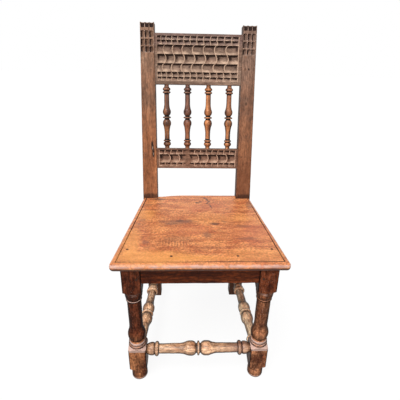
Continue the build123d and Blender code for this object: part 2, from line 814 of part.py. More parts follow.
# ---------------------------------------------------------------- the pegs
side_rail_pegs = [
    place(side)
    for side in both_sides
    for place in (side_rail_front_peg_place, side_rail_rear_peg_place)
]
save(peg_group(crest_pegs, peg_length), "crest_rail_pegs")
save(peg_group(lower_rail_pegs, peg_length), "lower_back_rail_pegs")
save(peg_group(front_rail_pegs + rear_rail_pegs + side_rail_pegs, peg_length), "seat_rail_pegs")
save(peg_group(seat_peg_heads, seat_peg_length), "seat_board_pegs")
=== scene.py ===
import math

import bmesh
import bpy
from mathutils import Matrix, Vector, noise


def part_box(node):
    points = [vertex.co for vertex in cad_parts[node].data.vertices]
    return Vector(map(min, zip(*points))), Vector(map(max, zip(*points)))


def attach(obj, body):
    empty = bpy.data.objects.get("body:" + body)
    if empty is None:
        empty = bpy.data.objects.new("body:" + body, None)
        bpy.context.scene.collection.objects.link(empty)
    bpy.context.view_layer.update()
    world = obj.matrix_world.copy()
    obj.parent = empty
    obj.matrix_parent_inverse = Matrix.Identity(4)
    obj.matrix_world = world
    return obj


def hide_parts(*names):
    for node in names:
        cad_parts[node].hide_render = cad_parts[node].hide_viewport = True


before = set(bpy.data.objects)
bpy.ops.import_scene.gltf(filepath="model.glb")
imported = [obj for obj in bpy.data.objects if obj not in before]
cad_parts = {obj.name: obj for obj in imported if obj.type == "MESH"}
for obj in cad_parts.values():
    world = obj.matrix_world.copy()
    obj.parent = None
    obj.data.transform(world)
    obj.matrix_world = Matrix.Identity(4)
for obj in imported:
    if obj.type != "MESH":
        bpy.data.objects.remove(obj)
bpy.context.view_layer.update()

# ------------------------------------------------------------------------------------------------
# Back posts: two sawn lengths of oak, upright below the seat and leaning back above it.
# Planed flat and rubbed round at the corners; the top of each front face is cut with a gouge,
# scallops through the top edge and three rows of three upright slots below them.
# ------------------------------------------------------------------------------------------------
mm = 0.001
lean = math.radians(9.6)
post_low, post_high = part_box("right_back_post")
seat_low, seat_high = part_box("seat_board")
seat_top = seat_high.z
post_width = post_high.x - post_low.x
post_top_width = 46 * mm
post_depth = 42 * mm
post_front = post_low.y
post_bend_radius = 100 * mm
post_rise = (post_high.z - seat_top) / math.cos(lean)
post_corner = seat_top - post_depth / 2 * math.tan(lean / 2)
bend_start = post_corner - post_bend_radius * math.tan(lean / 2)
bend_end = bend_start + post_bend_radius * lean
post_length = bend_end + post_rise - (post_depth / 2 + post_bend_radius) * math.tan(lean / 2)
post_worn_off = {"left": 0.0, "right": 3 * mm}  # at the top
post_crispness = 22

scallop_height = 17 * mm
scallop_depth = 10 * mm
scallop_radius = 6.3 * mm
scallop_steep = math.hypot(scallop_height, scallop_depth) / scallop_height
slot_depth = 4.4 * mm
slot_rows = ((25, 47), (50, 70), (73, 91))  # millimetres below the post's top
slot_columns = 3
slot_pitch = 14.1 * mm
slot_wall = 0.10  # share of a slot's width over which it drops at its left side
slot_ends = 0.04  # share of its length left standing above and below it
carved_length = 96 * mm
carved_skin = 0.5 * mm  # what lies no deeper than this belongs to the front face
cut_variation = 0.25  # share by which one cut's depth may differ from its row's


def wire(tree, value, socket):
    """Links the value to the input if it is a socket, and otherwise sets the input to it."""
    if isinstance(value, bpy.types.NodeSocket):
        tree.links.new(value, socket)
    else:
        socket.default_value = value


def add_node(tree, kind, options, *values, **named):
    """A new shader node with its options set; values and named values go to its inputs."""
    made = tree.nodes.new("ShaderNode" + kind)
    for option, value in options.items():
        setattr(made, option, value)
    for place, value in enumerate(values):
        wire(tree, value, made.inputs[place])
    for name, value in named.items():
        wire(tree, value, made.inputs[name.replace("_", " ")])
    return made


def maths(tree, operation, *values):
    return add_node(tree, "Math", {"operation": operation}, *values).outputs[0]


def vector_maths(tree, operation, *values):
    return add_node(tree, "VectorMath", {"operation": operation}, *values).outputs[0]


def stretch(tree, vector, factors):
    return vector_maths(tree, "MULTIPLY", vector, factors)


def speckle(tree, vector, scale, detail=2.0, roughness=0.5):
    """Soft noise, 0 to 1; the higher scale (1/m), the finer it is."""
    made = add_node(tree, "TexNoise", {}, Vector=vector, Scale=scale, Detail=detail, Roughness=roughness)
    return made.outputs["Fac"]


def between(tree, value, low, high, bottom=0.0, top=1.0):
    """bottom where value is low or less, top where it is high or more, and a soft step between."""
    options = {"interpolation_type": "SMOOTHSTEP"}
    return add_node(tree, "MapRange", options, value, low, high, bottom, top).outputs[0]


def mix_colour(tree, factor, first, second, way="MIX"):
    """The share factor of second laid over first, each a socket or three numbers."""
    colour_inputs = (6, 7)  # where this kind of node takes and gives colours
    colour_output = 2
    made = add_node(tree, "Mix", {"data_type": "RGBA", "blend_type": way}, factor)
    for place, value in zip(colour_inputs, (first, second)):
        wire(tree, (*value, 1.0) if isinstance(value, tuple) else value, made.inputs[place])
    return made.outputs[colour_output]


def multiply(tree, colour, tint):
    return mix_colour(tree, 1.0, colour, tint, "MULTIPLY")


def grey(tree, value):
    return add_node(tree, "CombineColor", {}, value, value, value).outputs[0]


def empty_tree(owner):
    """The emptied node tree of a material or a world."""
    owner.use_nodes = True
    owner.node_tree.nodes.clear()
    return owner.node_tree


def start_group(name, inputs, outputs):
    """A shader node group with these sockets, its outputs all floats, and the nodes that hold them."""
    group = bpy.data.node_groups.new(name, "ShaderNodeTree")
    for socket, kind in inputs.items():
        group.interface.new_socket(name=socket, in_out="INPUT", socket_type="NodeSocket" + kind)
    for socket in outputs:
        group.interface.new_socket(name=socket, in_out="OUTPUT", socket_type="NodeSocketFloat")
    return group, group.nodes.new("NodeGroupInput").outputs, group.nodes.new("NodeGroupOutput").inputs


def end_group(group, result, **values):
    """The same group, with each value linked to the output of that name."""
    for socket, value in values.items():
        group.links.new(value, result[socket])
    return group


def build_oak_grain():
    """The wood itself, with its length along Z: slow figure, fine fibre, mottling, dark open pores."""
    outputs = ("Figure", "Fibre", "Mottle", "Pores", "Height")
    group, given, result = start_group("oak_grain", {"Vector": "Vector"}, outputs)
    wander = add_node(group, "TexNoise", {}, Vector=given["Vector"], Scale=5.0, Detail=2.0)
    wander = vector_maths(group, "SUBTRACT", wander.outputs["Color"], (0.5, 0.5, 0.5))
    wander = stretch(group, wander, (0.012, 0.012, 0.0))
    bent = vector_maths(group, "ADD", given["Vector"], wander)
    figure = speckle(group, stretch(group, bent, (1.0, 1.0, 0.10)), 55.0, 4.0, 0.6)
    fibre = speckle(group, stretch(group, bent, (1.0, 1.0, 0.06)), 340.0, 4.0, 0.7)
    mottle = speckle(group, stretch(group, bent, (1.0, 1.0, 0.45)), 150.0, 3.0, 0.7)
    pores = speckle(group, stretch(group, bent, (1.0, 1.0, 0.06)), 900.0, 1.0)
    pores = between(group, pores, 0.55, 0.68)
    height = maths(group, "SUBTRACT", fibre, maths(group, "MULTIPLY", pores, 0.7))
    return end_group(group, result, Figure=figure, Fibre=fibre, Mottle=mottle, Pores=pores, Height=height)


def build_wear_and_painted_light():
    """Masks for what handling and dust leave, worn high places, dirt in the hollows, dark patches and
    nicks, and for the light and shade painted through the ridge and hollow layers.
    """
    inputs = {"Vector": "Vector", "Ridge": "Float", "Hollow": "Float"}
    group, given, result = start_group("wear_and_painted_light", inputs, ("Rubbed", "Grime", "Patches", "Nicks"))
    uneven = speckle(group, given["Vector"], 60.0, 5.0, 0.65)
    uneven = maths(group, "SUBTRACT", uneven, 0.5)
    rubbed_and_lit = maths(group, "MULTIPLY_ADD", uneven, 1.1, given["Ridge"])
    rubbed_and_lit = between(group, rubbed_and_lit, 0.25, 0.85)
    grime_and_shade = maths(group, "MULTIPLY_ADD", uneven, 0.8, given["Hollow"])
    grime_and_shade = between(group, grime_and_shade, 0.15, 0.75)
    patches = between(group, speckle(group, given["Vector"], 17.0, 6.0, 0.62), 0.47, 0.66)
    nicks = between(group, speckle(group, given["Vector"], 330.0, 3.0, 0.7), 0.60, 0.72)
    return end_group(group, result, Rubbed=rubbed_and_lit, Grime=grime_and_shade, Patches=patches, Nicks=nicks)


def build_ragged_mark():
    """One mark with a ragged edge, used for stained spots and for painted shade and sheen: 1 inside an
    ellipsoid about Centre, 0 outside it.
    """
    inputs = {"Vector": "Vector", "Centre": "Vector", "Radii": "Vector"}
    group, given, result = start_group("ragged_mark", inputs, ("Mask",))
    away = vector_maths(group, "SUBTRACT", given["Vector"], given["Centre"])
    away = vector_maths(group, "DIVIDE", away, given["Radii"])
    reach = add_node(group, "VectorMath", {"operation": "LENGTH"}, away).outputs["Value"]
    ragged = speckle(group, given["Vector"], 190.0, 3.0, 0.6)
    reach = maths(group, "MULTIPLY_ADD", ragged, 1.1, reach)
    return end_group(group, result, Mask=between(group, reach, 1.9, 1.0))


oak_grain = build_oak_grain()
wear_and_painted_light = build_wear_and_painted_light()
ragged_mark = build_ragged_mark()


def ragged_mark_mask(tree, place, centre, half_sizes):
    mask = add_node(tree, "Group", {"node_tree": ragged_mark}, Vector=place, Centre=centre, Radii=half_sizes)
    return mask.outputs[0]


def oak_finish(name, heart, pale, rubbed_and_lit, grime_and_shade, grain=(0, 0, 0), start=(0, 0, 0), shorter=(1, 1, 1),
               roughness=0.5, shine=0.12, patch=(0.6, 0.55, 0.52), rubbing=1.0, dirt=1.0, nicked=0.2,
               fibrous=0.28, mottled=0.22, relief=0.25, shaded=0.5, stains_and_painted_light=(), change=None, curl=None):
    """An oak material. heart and pale are its two tones, rubbed the colour of worn high places and of
    the highlights painted on them, grime that of dirt in the hollows and of painted shade; rubbing,
    nicked and dirt say how strongly these show. grain turns the wood's length from Z, start moves the
    pattern and shorter squeezes it. patch tints the dark patches, fibrous and mottled are the contrast
    of the grain, relief is its depth, and shaded is a painted shade that darkens what turns away from
    the eye. stains are marks (centre, half sizes, strength, colour), some of them painted shade and
    some painted sheen; change is a tint (colour, start height, full height), and curl is a rippled
    place (centre, half sizes, strength, spacing)."""
    spread = (0.32, 0.68)  # nearly all of a noise lies between these
    open_pores = 0.45  # how strongly the dirt in them shows
    turning = (0.12, 0.72)  # 0 faces the eye, 1 lies edge on; shading grows between these
    pore_depth = 0.6 * mm
    finish = bpy.data.materials.new(name)
    tree = empty_tree(finish)
    place = add_node(tree, "TexCoord", {}).outputs["Object"]
    along = add_node(tree, "Mapping", {}, Vector=place, Rotation=grain, Location=start, Scale=shorter)
    wood = add_node(tree, "Group", {"node_tree": oak_grain}, Vector=along.outputs[0]).outputs
    ridge = add_node(tree, "Attribute", {"attribute_name": "ridge"}).outputs["Fac"]
    hollow = add_node(tree, "Attribute", {"attribute_name": "hollow"}).outputs["Fac"]
    shifted = add_node(tree, "Mapping", {}, Vector=place, Location=start).outputs[0]
    use = add_node(tree, "Group", {"node_tree": wear_and_painted_light}, Vector=shifted, Ridge=ridge, Hollow=hollow)
    use = use.outputs
    colour = mix_colour(tree, between(tree, wood["Figure"], *spread), heart, pale)
    if change:
        tint, from_height, to_height = change
        height = add_node(tree, "SeparateXYZ", {}, place).outputs["Z"]
        height = maths(tree, "MULTIPLY_ADD", use["Patches"], (to_height - from_height) * 0.3, height)
        share = between(tree, height, from_height, to_height)
        colour = mix_colour(tree, share, colour, multiply(tree, colour, tint))
    fibre = between(tree, wood["Fibre"], *spread, 1 - fibrous, 1 + fibrous)
    mottle = between(tree, wood["Mottle"], *spread, 1 - mottled, 1 + mottled)
    colour = multiply(tree, colour, grey(tree, maths(tree, "MULTIPLY", fibre, mottle)))
    colour = mix_colour(tree, use["Patches"], colour, multiply(tree, colour, patch))
    coats = [
        (wood["Pores"], open_pores, grime_and_shade),
        (use["Rubbed"], rubbing, rubbed_and_lit),
        (use["Nicks"], nicked, rubbed_and_lit),
        (use["Grime"], dirt, grime_and_shade),
    ]
    for centre, half_sizes, strength, tint in stains_and_painted_light:
        coats.append((ragged_mark_mask(tree, place, centre, half_sizes), strength, tint))
    if curl:
        centre, half_sizes, strength, spacing = curl
        waves = add_node(tree, "TexWave", {}, Vector=place, Scale=math.pi / 10 / spacing, Distortion=7.0,
                         Detail=3.0, Detail_Scale=2.0).outputs["Fac"]
        waves = between(tree, waves, 0.40, 1.0)
        mask = maths(tree, "MULTIPLY", waves, ragged_mark_mask(tree, place, centre, half_sizes))
        coats.append((mask, strength, grime_and_shade))
    for mask, strength, tint in coats:
        colour = mix_colour(tree, maths(tree, "MULTIPLY", mask, strength), colour, tint)
    # painted shade: the colour darkens, and the sheen weakens, where the surface turns edge on to the eye
    turned_away = add_node(tree, "LayerWeight", {}, Blend=0.5).outputs["Facing"]
    facing = between(tree, turned_away, *turning, 1.0, 1 - shaded)
    rough = maths(tree, "MULTIPLY_ADD", wood["Fibre"], 0.22, roughness - 0.11)
    rough = maths(tree, "MULTIPLY_ADD", use["Grime"], 0.25, rough)
    height = maths(tree, "MULTIPLY_ADD", use["Nicks"], -1.2, wood["Height"])
    bump = add_node(tree, "Bump", {}, Strength=relief, Distance=pore_depth, Height=height).outputs[0]
    shader = add_node(
        tree, "BsdfPrincipled", {}, Roughness=rough, Normal=bump,
        Base_Color=multiply(tree, colour, grey(tree, facing)),
        Specular_IOR_Level=maths(tree, "MULTIPLY", facing, shine),
    )
    add_node(tree, "OutputMaterial", {}, shader.outputs[0])
    return finish


def clamp(value):
    return max(0.0, min(1.0, value))


def wear_layers(shape):
    """The vertex layers that say where the surface stands out and where it lies in, 0 to 1."""
    layers = shape.verts.layers.float
    return layers.get("ridge") or layers.new("ridge"), layers.get("hollow") or layers.new("hollow")


def mark_wear(shape):
    """Adds to those layers what follows from how sharply the surface bends (1/m)."""
    ridge_bend = 500.0
    hollow_bend = 260.0
    shortest = 0.9 * mm  # a shorter edge counts as this long
    ridge, hollow = wear_layers(shape)
    shape.normal_update()
    bends = []
    for vert in shape.verts:
        bend = 0.0
        for edge in vert.link_edges:
            away = edge.other_vert(vert).co - vert.co
            bend += 2.0 * away.dot(vert.normal) / max(away.length_squared, shortest ** 2)
        bends.append(bend / max(len(vert.link_edges), 1))
    shape.verts.index_update()
    for vert in shape.verts:
        near = [bends[edge.other_vert(vert).index] for edge in vert.link_edges]
        bend = 0.5 * bends[vert.index] + 0.5 * sum(near) / max(len(near), 1)
        vert[ridge] = max(vert[ridge], clamp(-bend / ridge_bend))
        vert[hollow] = max(vert[hollow], clamp(bend / hollow_bend))


def rub_down(shape, depth, spacing, seed):
    """Takes the surface down unevenly, by up to depth, in dips about spacing apart."""
    shape.normal_update()
    offset = Vector((seed, 2.3 * seed, 5.1 * seed))
    for vert in shape.verts:
        dip = 0.5 - 0.5 * noise.fractal(vert.co / spacing + offset, 1.0, 2.0, 3)
        vert.co -= vert.normal * depth * clamp(dip)


def put_in_scene(name, data):
    """A new object of that mesh, lamp or camera."""
    made = bpy.data.objects.new(name, data)
    bpy.context.scene.collection.objects.link(made)
    return made


def make_object(name, shape, material):
    """A new object of that shape, which is used up."""
    mesh = bpy.data.meshes.new(name)
    shape.to_mesh(mesh)
    shape.free()
    mesh.materials.append(material)
    return put_in_scene(name, mesh)


def finish_piece(shape, node, material, sharpest=34.0):
    """Shades the shape, smooth where it bends by less than sharpest degrees, and makes it the piece
    that stands for the solid of that name."""
    bmesh.ops.remove_doubles(shape, verts=shape.verts, dist=0.02 * mm)
    bmesh.ops.recalc_face_normals(shape, faces=shape.faces)
    mark_wear(shape)
    for face in shape.faces:
        face.smooth = True
    for edge in shape.edges:
        edge.smooth = edge.calc_face_angle(math.pi) < math.radians(sharpest)
    piece = make_object(node + "_oak", shape, material)
    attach(piece, "root")
    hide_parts(node)


def open_rim(shape):
    return [edge for edge in shape.edges if edge.is_boundary]


def draw_out(shape, rim):
    """Draws the open rim out without moving it yet: its new vertices, and the new rim."""
    made = bmesh.ops.extrude_edge_only(shape, edges=rim)["geom"]
    verts = [item for item in made if isinstance(item, bmesh.types.BMVert)]
    return verts, [item for item in made if isinstance(item, bmesh.types.BMEdge) and item.is_boundary]


def round_edges(shape, edges, radius, segments):
    bmesh.ops.bevel(shape, geom=edges, offset=radius, offset_type="OFFSET", segments=segments,
                    profile=0.5, affect="EDGES", material=-1)


def cut_across(shape, planes):
    """Adds edges where the planes, each a point and a normal, cross the shape."""
    for point, normal in planes:
        everything = shape.verts[:] + shape.edges[:] + shape.faces[:]
        bmesh.ops.bisect_plane(shape, geom=everything, dist=0.001 * mm, plane_co=point, plane_no=normal)


def gouge_cut(run, across, wall, ridge):
    """Depth of one gouge cut, 0 to 1. It drops straight down within the share wall of its length,
    lies hollow, and comes up at run 1; ridge is the share of its width left standing at the sides."""
    side = clamp(abs(2 * across - 1) / (1 - ridge))
    return clamp(run / wall) * (1 - run ** 1.6) * (1 - side ** 3)


def narrow_post(vert, sign):
    """Slopes the outer face of a straight post in towards its top."""
    share = clamp(1 - (post_length - vert.co.z) / post_rise)
    from_inner = sign * vert.co.x + post_width / 2
    from_inner *= 1 - (1 - post_top_width / post_width) * share
    vert.co.x = sign * (from_inner - post_width / 2)


def carve_post_top(vert, below, sign, ridge, hollow):
    """Cuts the scallops through the top edge and the rows of slots into the front of a straight post."""
    middle = sign * (post_top_width - post_width) / 2
    share = (vert.co.x - middle) / slot_pitch + slot_columns / 2
    if below > carved_length or not 0 < share < slot_columns:
        return
    column = math.floor(share)
    across = share - column
    inside = vert.co.y + post_depth / 2
    on_face = inside < carved_skin
    if below < scallop_height:
        side = min(abs(across - 0.5) * slot_pitch / scallop_radius, 1.0)
        rise = scallop_radius * scallop_steep * (1 - math.sqrt(1 - side * side))
        deep = max(scallop_depth * (1 - below / scallop_height) - rise, 0.0)
        vert.co.y += deep * clamp(1 - inside / post_depth)
        if on_face:
            # neither the scallop's lower end nor the post's top edge is marked
            cut_to = clamp((scallop_height - below) / (1.5 * mm)) * clamp((below - 2 * mm) / (2 * mm))
            vert[hollow] = 1.3 * clamp(2.2 * (1 - side ** 3)) * cut_to
            vert[ridge] = 0.5 * clamp(1 - deep / (0.8 * mm)) * cut_to
    elif on_face:
        for upper, lower in slot_rows:
            down = (below / mm - upper) / (lower - upper)
            if 0 < down < 1:
                uneven = 1 + cut_variation * noise.noise(Vector((column * 3.1, upper, vert.co.x)))
                deep = slot_depth * uneven * gouge_cut(across, down, slot_wall, slot_ends)
                vert.co.y += deep
                # painted shade lies thick at the steep left side and at the upper end, where the slot
                # would lie in shadow, and thin elsewhere
                dirty = max(clamp(1.30 - 2.6 * across), clamp(1.0 - 4 * down), 0.32)
                vert[hollow] = 1.15 * clamp(deep / (0.8 * mm)) * dirty
                vert[ridge] = 0.85 * clamp(1 - deep / (0.5 * mm))


def lean_back(vert):
    """Bends a straight post: upright to the seat, a short arc, then the raked part."""
    turn = min(max((vert.co.z - bend_start) / post_bend_radius, 0.0), lean)
    beyond = vert.co.z - bend_start - post_bend_radius * turn if vert.co.z > bend_start else 0.0
    base = min(vert.co.z, bend_start) + post_bend_radius * math.sin(turn)
    back = post_bend_radius * (1 - math.cos(turn))
    centre_y = post_front + post_depth / 2 + back + beyond * math.sin(turn)
    centre_z = base + beyond * math.cos(turn)
    vert.co.z = centre_z - vert.co.y * math.sin(turn)
    vert.co.y = centre_y + vert.co.y * math.cos(turn)


def round_section(vert, half_x, half_y, crispness):
    """Rubs the corners of a rectangular section round; the higher crispness, the sharper they stay."""
    a = abs(vert.co.x) / half_x
    b = abs(vert.co.y) / half_y
    if max(a, b) > 0:
        kept = max(a, b) / (a ** crispness + b ** crispness) ** (1 / crispness)
        vert.co.x *= kept
        vert.co.y *= kept


dark_hole = (0.020, 0.011, 0.008)
chalky = (0.62, 0.50, 0.40)
# stains: centre and half sizes in metres, strength, colour; the left post's first four are its crack
post_looks = {
    "left": dict(
        heart=(0.245, 0.088, 0.036), pale=(0.410, 0.164, 0.071),
        stains_and_painted_light=(((-0.1605, 0.17, 0.652), (0.0042, 0.06, 0.020), 1.0, dark_hole),
                ((-0.1580, 0.17, 0.626), (0.0044, 0.06, 0.020), 1.0, dark_hole),
                ((-0.1600, 0.17, 0.643), (0.0010, 0.06, 0.006), 0.6, chalky),
                ((-0.1575, 0.17, 0.622), (0.0008, 0.06, 0.005), 0.6, chalky),
                ((-0.175, 0.14, 0.050), (0.090, 0.20, 0.330), 0.85, (0.075, 0.036, 0.022)),
                ((-0.175, 0.14, 0.468), (0.040, 0.06, 0.012), 0.75, dark_hole))),
    "right": dict(
        heart=(0.190, 0.074, 0.035), pale=(0.320, 0.132, 0.062),
        stains_and_painted_light=(((0.171, 0.21, 0.906), (0.0030, 0.06, 0.0040), 1.0, dark_hole),
                ((0.167, 0.19, 0.795), (0.0040, 0.06, 0.0070), 0.75, dark_hole),
                ((0.175, 0.14, 0.500), (0.090, 0.10, 0.090), 0.50, (0.130, 0.042, 0.017)),
                ((0.175, 0.14, 0.050), (0.090, 0.20, 0.330), 0.85, (0.060, 0.026, 0.016)),
                ((0.175, 0.14, 0.466), (0.040, 0.06, 0.010), 0.75, dark_hole))),
}
post_columns = 60  # of faces across the front
post_layers = 24  # from front to rear
fine_rows = 104  # over the carved length
plain_rows = 112  # below it
both_sides = (("left", -1), ("right", 1))
for side, sign in both_sides:
    shape = bmesh.new()
    length = post_length - post_worn_off[side]
    end_grain = Matrix.Translation((0, 0, length)) @ Matrix.Diagonal((post_width, post_depth, 1, 1))
    bmesh.ops.create_grid(shape, x_segments=post_columns, y_segments=post_layers, size=0.5,
                          matrix=end_grain)
    fine_step = carved_length / fine_rows
    plain_step = (length - carved_length) / plain_rows
    rim = open_rim(shape)
    for step in [fine_step] * fine_rows + [plain_step] * plain_rows:
        drawn, rim = draw_out(shape, rim)
        bmesh.ops.translate(shape, verts=drawn, vec=(0, 0, -step))
    bmesh.ops.holes_fill(shape, edges=rim, sides=0)
    ridge, hollow = wear_layers(shape)
    for vert in shape.verts:
        below = length - vert.co.z
        round_section(vert, post_width / 2, post_depth / 2, post_crispness)
        narrow_post(vert, sign)
        carve_post_top(vert, below, sign, ridge, hollow)
    rub_down(shape, depth=0.5 * mm, spacing=30 * mm, seed=3 + sign)
    for vert in shape.verts:
        lean_back(vert)
        vert.co.x += sign * (post_low.x + post_high.x) / 2
    post_oak = oak_finish(
        side + "_post_oak",
        rubbed_and_lit=(0.54, 0.40, 0.34),
        grime_and_shade=(0.024, 0.011, 0.008),
        grain=(lean, 0, 0),
        start=(0.3 * sign, 0, 0),
        patch=(0.74, 0.68, 0.64),
        change=((0.86, 1.28, 1.95), 0.62, 1.04),
        **post_looks[side],
    )
    finish_piece(shape, side + "_back_post", post_oak)

# ------------------------------------------------------------------------------------------------
# Crest rail: a broad oak rail tenoned between the posts, its face cut over with a gouge.
# Each cut is stabbed in at its upper edge and scooped out upwards to it from below, so that thin
# ridges are left between neighbours. Two rows of small cuts, three of large ones, two of small.
# ------------------------------------------------------------------------------------------------
back_plane = Matrix.Translation((0, post_front, seat_top)) @ Matrix.Rotation(-lean, 4, "X")
rail_half_length = post_low.x
rail_face = 2 * mm  # behind the posts' front faces
rail_thickness = 24 * mm
crest_bottom = 400.5 * mm
crest_height = 159.5 * mm
crest_carved = (-138 * mm, 134 * mm)
# lower edge, upper edge, cuts in the row, depth, and how far to the right its ridges stand at the
# top, in the middle and at the bottom: millimetres
crest_rows = (
    (12.0, 24.8, 13, 4.0, (3.0, -0.4, -2.4)),
    (25.4, 40.4, 13, 4.2, (-2.6, 1.0, 2.8)),
    (41.0, 67.2, 8, 6.0, (2.0, -7.0, -3.5)),
    (68.0, 95.8, 8, 6.6, (0.5, 5.0, -1.5)),
    (96.5, 124.6, 8, 6.4, (6.0, -3.5, 0.0)),
    (125.2, 139.0, 13, 4.2, (-2.6, 0.8, 2.6)),
    (139.6, 151.6, 13, 4.0, (3.0, -0.4, -2.4)),
)
crest_crowding = 1.17  # the cuts start narrow at the left end
carved_columns = 312  # 24 to each small cut, 39 to each large one
plain_columns = 5  # from the carving to the rail's shoulder, at each end
line_spacing = 0.95  # millimetres between the grid's lines within a row
plain_edge = 2.2 * mm  # from the rail's edge to the grid's first line
above_cuts = 0.8 * mm  # from the outermost cuts to the plain wood's line
stab_width = 0.7  # millimetres over which a cut drops to its full depth
ridge_width = 1.1 * mm
ridge_wander = 0.9 * mm
rail_arris = 1.3 * mm
most_large_cuts = 10  # a row with fewer cuts than this is one of large cuts


def carved_levels(height, rows):
    """Heights of the grid's lines: close under each stabbed edge, evenly spaced below it."""
    levels = [0.0, plain_edge, rows[0][0] * mm - above_cuts]
    for lower, upper, cuts, deep, bend in rows:
        count = round((upper - lower) / line_spacing)
        even = upper - lower - stab_width
        levels += [(lower + even * line / count) * mm for line in range(count + 1)]
        levels.append(upper * mm)
    return levels + [rows[-1][1] * mm + above_cuts, height - plain_edge, height]


def ridge_place(bend, down):
    """How far to the right a ridge stands at that share of the way down. It turns in sharply at the
    top if it then runs down to the left, and at the bottom if it comes from the right."""
    top, middle, bottom = bend
    upper_half = down < 0.5
    from_end = 2 * down if upper_half else 2 - 2 * down
    hooked = (middle < top) == upper_half
    share = (1 - (1 - from_end) ** 2) ** (0.5 if hooked else 1.0)
    return (top if upper_half else bottom) * (1 - share) + middle * share


def shade_and_light_in_cut(large, leans_right, down, across):
    """Painted shade and painted light at a place in a cut, 0 to 1 each. Shade is painted under the stabbed
    edge and at the cut's lee side, under the ridge that leans over it; light is painted on the lower
    half, which faces up, away from the lee."""
    from_lee = across if leans_right else 1 - across
    if large:
        under_edge = clamp(1.2 - 3.4 * down)  # none below a third of the cut
        at_lee = clamp(1.4 - 3.0 * from_lee) * clamp(1.6 - 1.6 * down)  # none past the middle
        dirty = max(under_edge, at_lee if leans_right else 0.6 * at_lee)
        return dirty, 0.64 * clamp(2.0 * down - 0.7) * clamp(0.45 + from_lee)
    dirty = clamp(2.2 - 2.9 * down - 1.1 * from_lee)
    return dirty, 0.58 * clamp(2.8 * down - 1.4) * clamp(0.3 + from_lee)


def carve_rail(vert, span, rows, crowding, faded, ridge, hollow):
    """Places a vertex of the rail's face on the gouge work. The grid's columns follow the ridges."""
    left, right = span
    share = vert.co.x
    held = clamp(12 * share) * clamp(12 * (1 - share))  # the outermost ridges stand straight
    uneven = ridge_wander * noise.noise(Vector((share * 9, vert.co.z * 60, 1.7)))
    vert.co.x = left + (right - left) * share ** crowding + uneven * held
    for number, (lower, upper, cuts, deep, bend) in enumerate(rows):
        down = (upper - vert.co.z / mm) / (upper - lower)
        if -0.001 <= down <= 1.001:
            down = clamp(down)
            cut = min(math.floor(share * cuts), cuts - 1)
            across = share * cuts - cut
            kept = 1 - faded(vert.co.x)
            vary = 1 + cut_variation * noise.noise(Vector((cut * 1.7 + 0.5, number * 2.9, 4.4)))
            standing = ridge_width * cuts / (right - left)
            depth = vary * kept * gouge_cut(down, across, stab_width / (upper - lower), standing)
            vert.co.x += ridge_place(bend, down) * held * mm
            vert.co.y += deep * depth * mm
            # the painted shade goes to the hollow layer, and the painted light on the cut's lower half to
            # the ridge layer, with the wear of the ridges and edges
            dirty, rubbed_and_lit = shade_and_light_in_cut(cuts < most_large_cuts, bend[1] > bend[0], down, across)
            from_ridge = 1 - clamp(abs(2 * across - 1) / (1 - standing)) ** 3
            on_ridge = 0.8 * clamp(1.3 - 5.5 * from_ridge)
            at_edge = max(0.5 * clamp(1 - 24 * down), 0.30 * clamp(10 * down - 9))
            vert[ridge] = max(on_ridge, rubbed_and_lit, at_edge) * kept
            vert[hollow] = 1.05 * clamp(3.2 * depth - 0.25) * dirty
            return


def carved_rail(bottom, height, span, rows, crowding, faded, seed):
    """A rail with a carved face, in the plane of the back: x across, z up along the posts."""
    shape = bmesh.new()
    ridge, hollow = wear_layers(shape)
    levels = carved_levels(height, rows)
    columns = carved_columns + 2 * plain_columns
    bmesh.ops.create_grid(shape, x_segments=columns, y_segments=len(levels) - 1, size=0.5)
    for vert in shape.verts:
        column = round((vert.co.x + 0.5) * columns)
        level = levels[round((vert.co.y + 0.5) * (len(levels) - 1))]
        share = (column - plain_columns) / carved_columns
        vert.co = Vector((share, 0, level))
        if share < 0:
            vert.co.x = -rail_half_length + (span[0] + rail_half_length) * column / plain_columns
        elif share > 1:
            beyond = (column - plain_columns - carved_columns) / plain_columns
            vert.co.x = span[1] + (rail_half_length - span[1]) * beyond
        else:
            carve_rail(vert, span, rows, crowding, faded, ridge, hollow)
    rub_down(shape, depth=0.25 * mm, spacing=9 * mm, seed=seed)
    bmesh.ops.recalc_face_normals(shape, faces=shape.faces)
    rim = open_rim(shape)
    drawn, back_rim = draw_out(shape, rim)
    for vert in drawn:
        vert.co.y = rail_thickness
    bmesh.ops.holes_fill(shape, edges=back_rim, sides=0)
    round_edges(shape, rim + back_rim, rail_arris, segments=3)
    place = back_plane @ Matrix.Translation((0, rail_face, bottom))
    bmesh.ops.transform(shape, matrix=place, verts=shape.verts)
    return shape


along_x = (0, math.pi / 2, 0)
shape = carved_rail(crest_bottom, crest_height, crest_carved, crest_rows,
                    crowding=crest_crowding, faded=lambda x: 0.0, seed=11)
crest_oak = oak_finish(
    "crest_oak",
    heart=(0.162, 0.098, 0.068),
    pale=(0.286, 0.182, 0.130),
    rubbed_and_lit=(0.60, 0.41, 0.29),
    grime_and_shade=(0.024, 0.011, 0.008),
    grain=along_x,
    patch=(0.82, 0.72, 0.70),
    rubbing=0.85,
    dirt=0.95,
    fibrous=0.18,
    mottled=0.18,
    change=((0.84, 0.86, 1.00), 0.965, 0.992),
)
finish_piece(shape, "crest_rail", crest_oak, sharpest=60)

# ------------------------------------------------------------------------------------------------
# Lower back rail: a narrower rail under the spindles, tenoned and cut like the crest rail, with one
# row of large cuts between two rows of small ones. A knot left of the middle has worn smooth.
# ------------------------------------------------------------------------------------------------
lower_bottom = 112.5 * mm
lower_height = 71 * mm
lower_carved = (-137 * mm, 137 * mm)
lower_rows = (
    (8.0, 20.4, 13, 3.8, (2.6, -0.4, -2.2)),
    (21.2, 50.6, 8, 6.0, (-1.0, 5.0, -3.5)),
    (51.4, 65.9, 13, 4.0, (2.6, -0.4, -2.2)),
)
knot_x = -38 * mm
knot_reach = 13 * mm


def worn_at_knot(x):
    return 0.85 * math.exp(-(((x - knot_x) / knot_reach) ** 2))


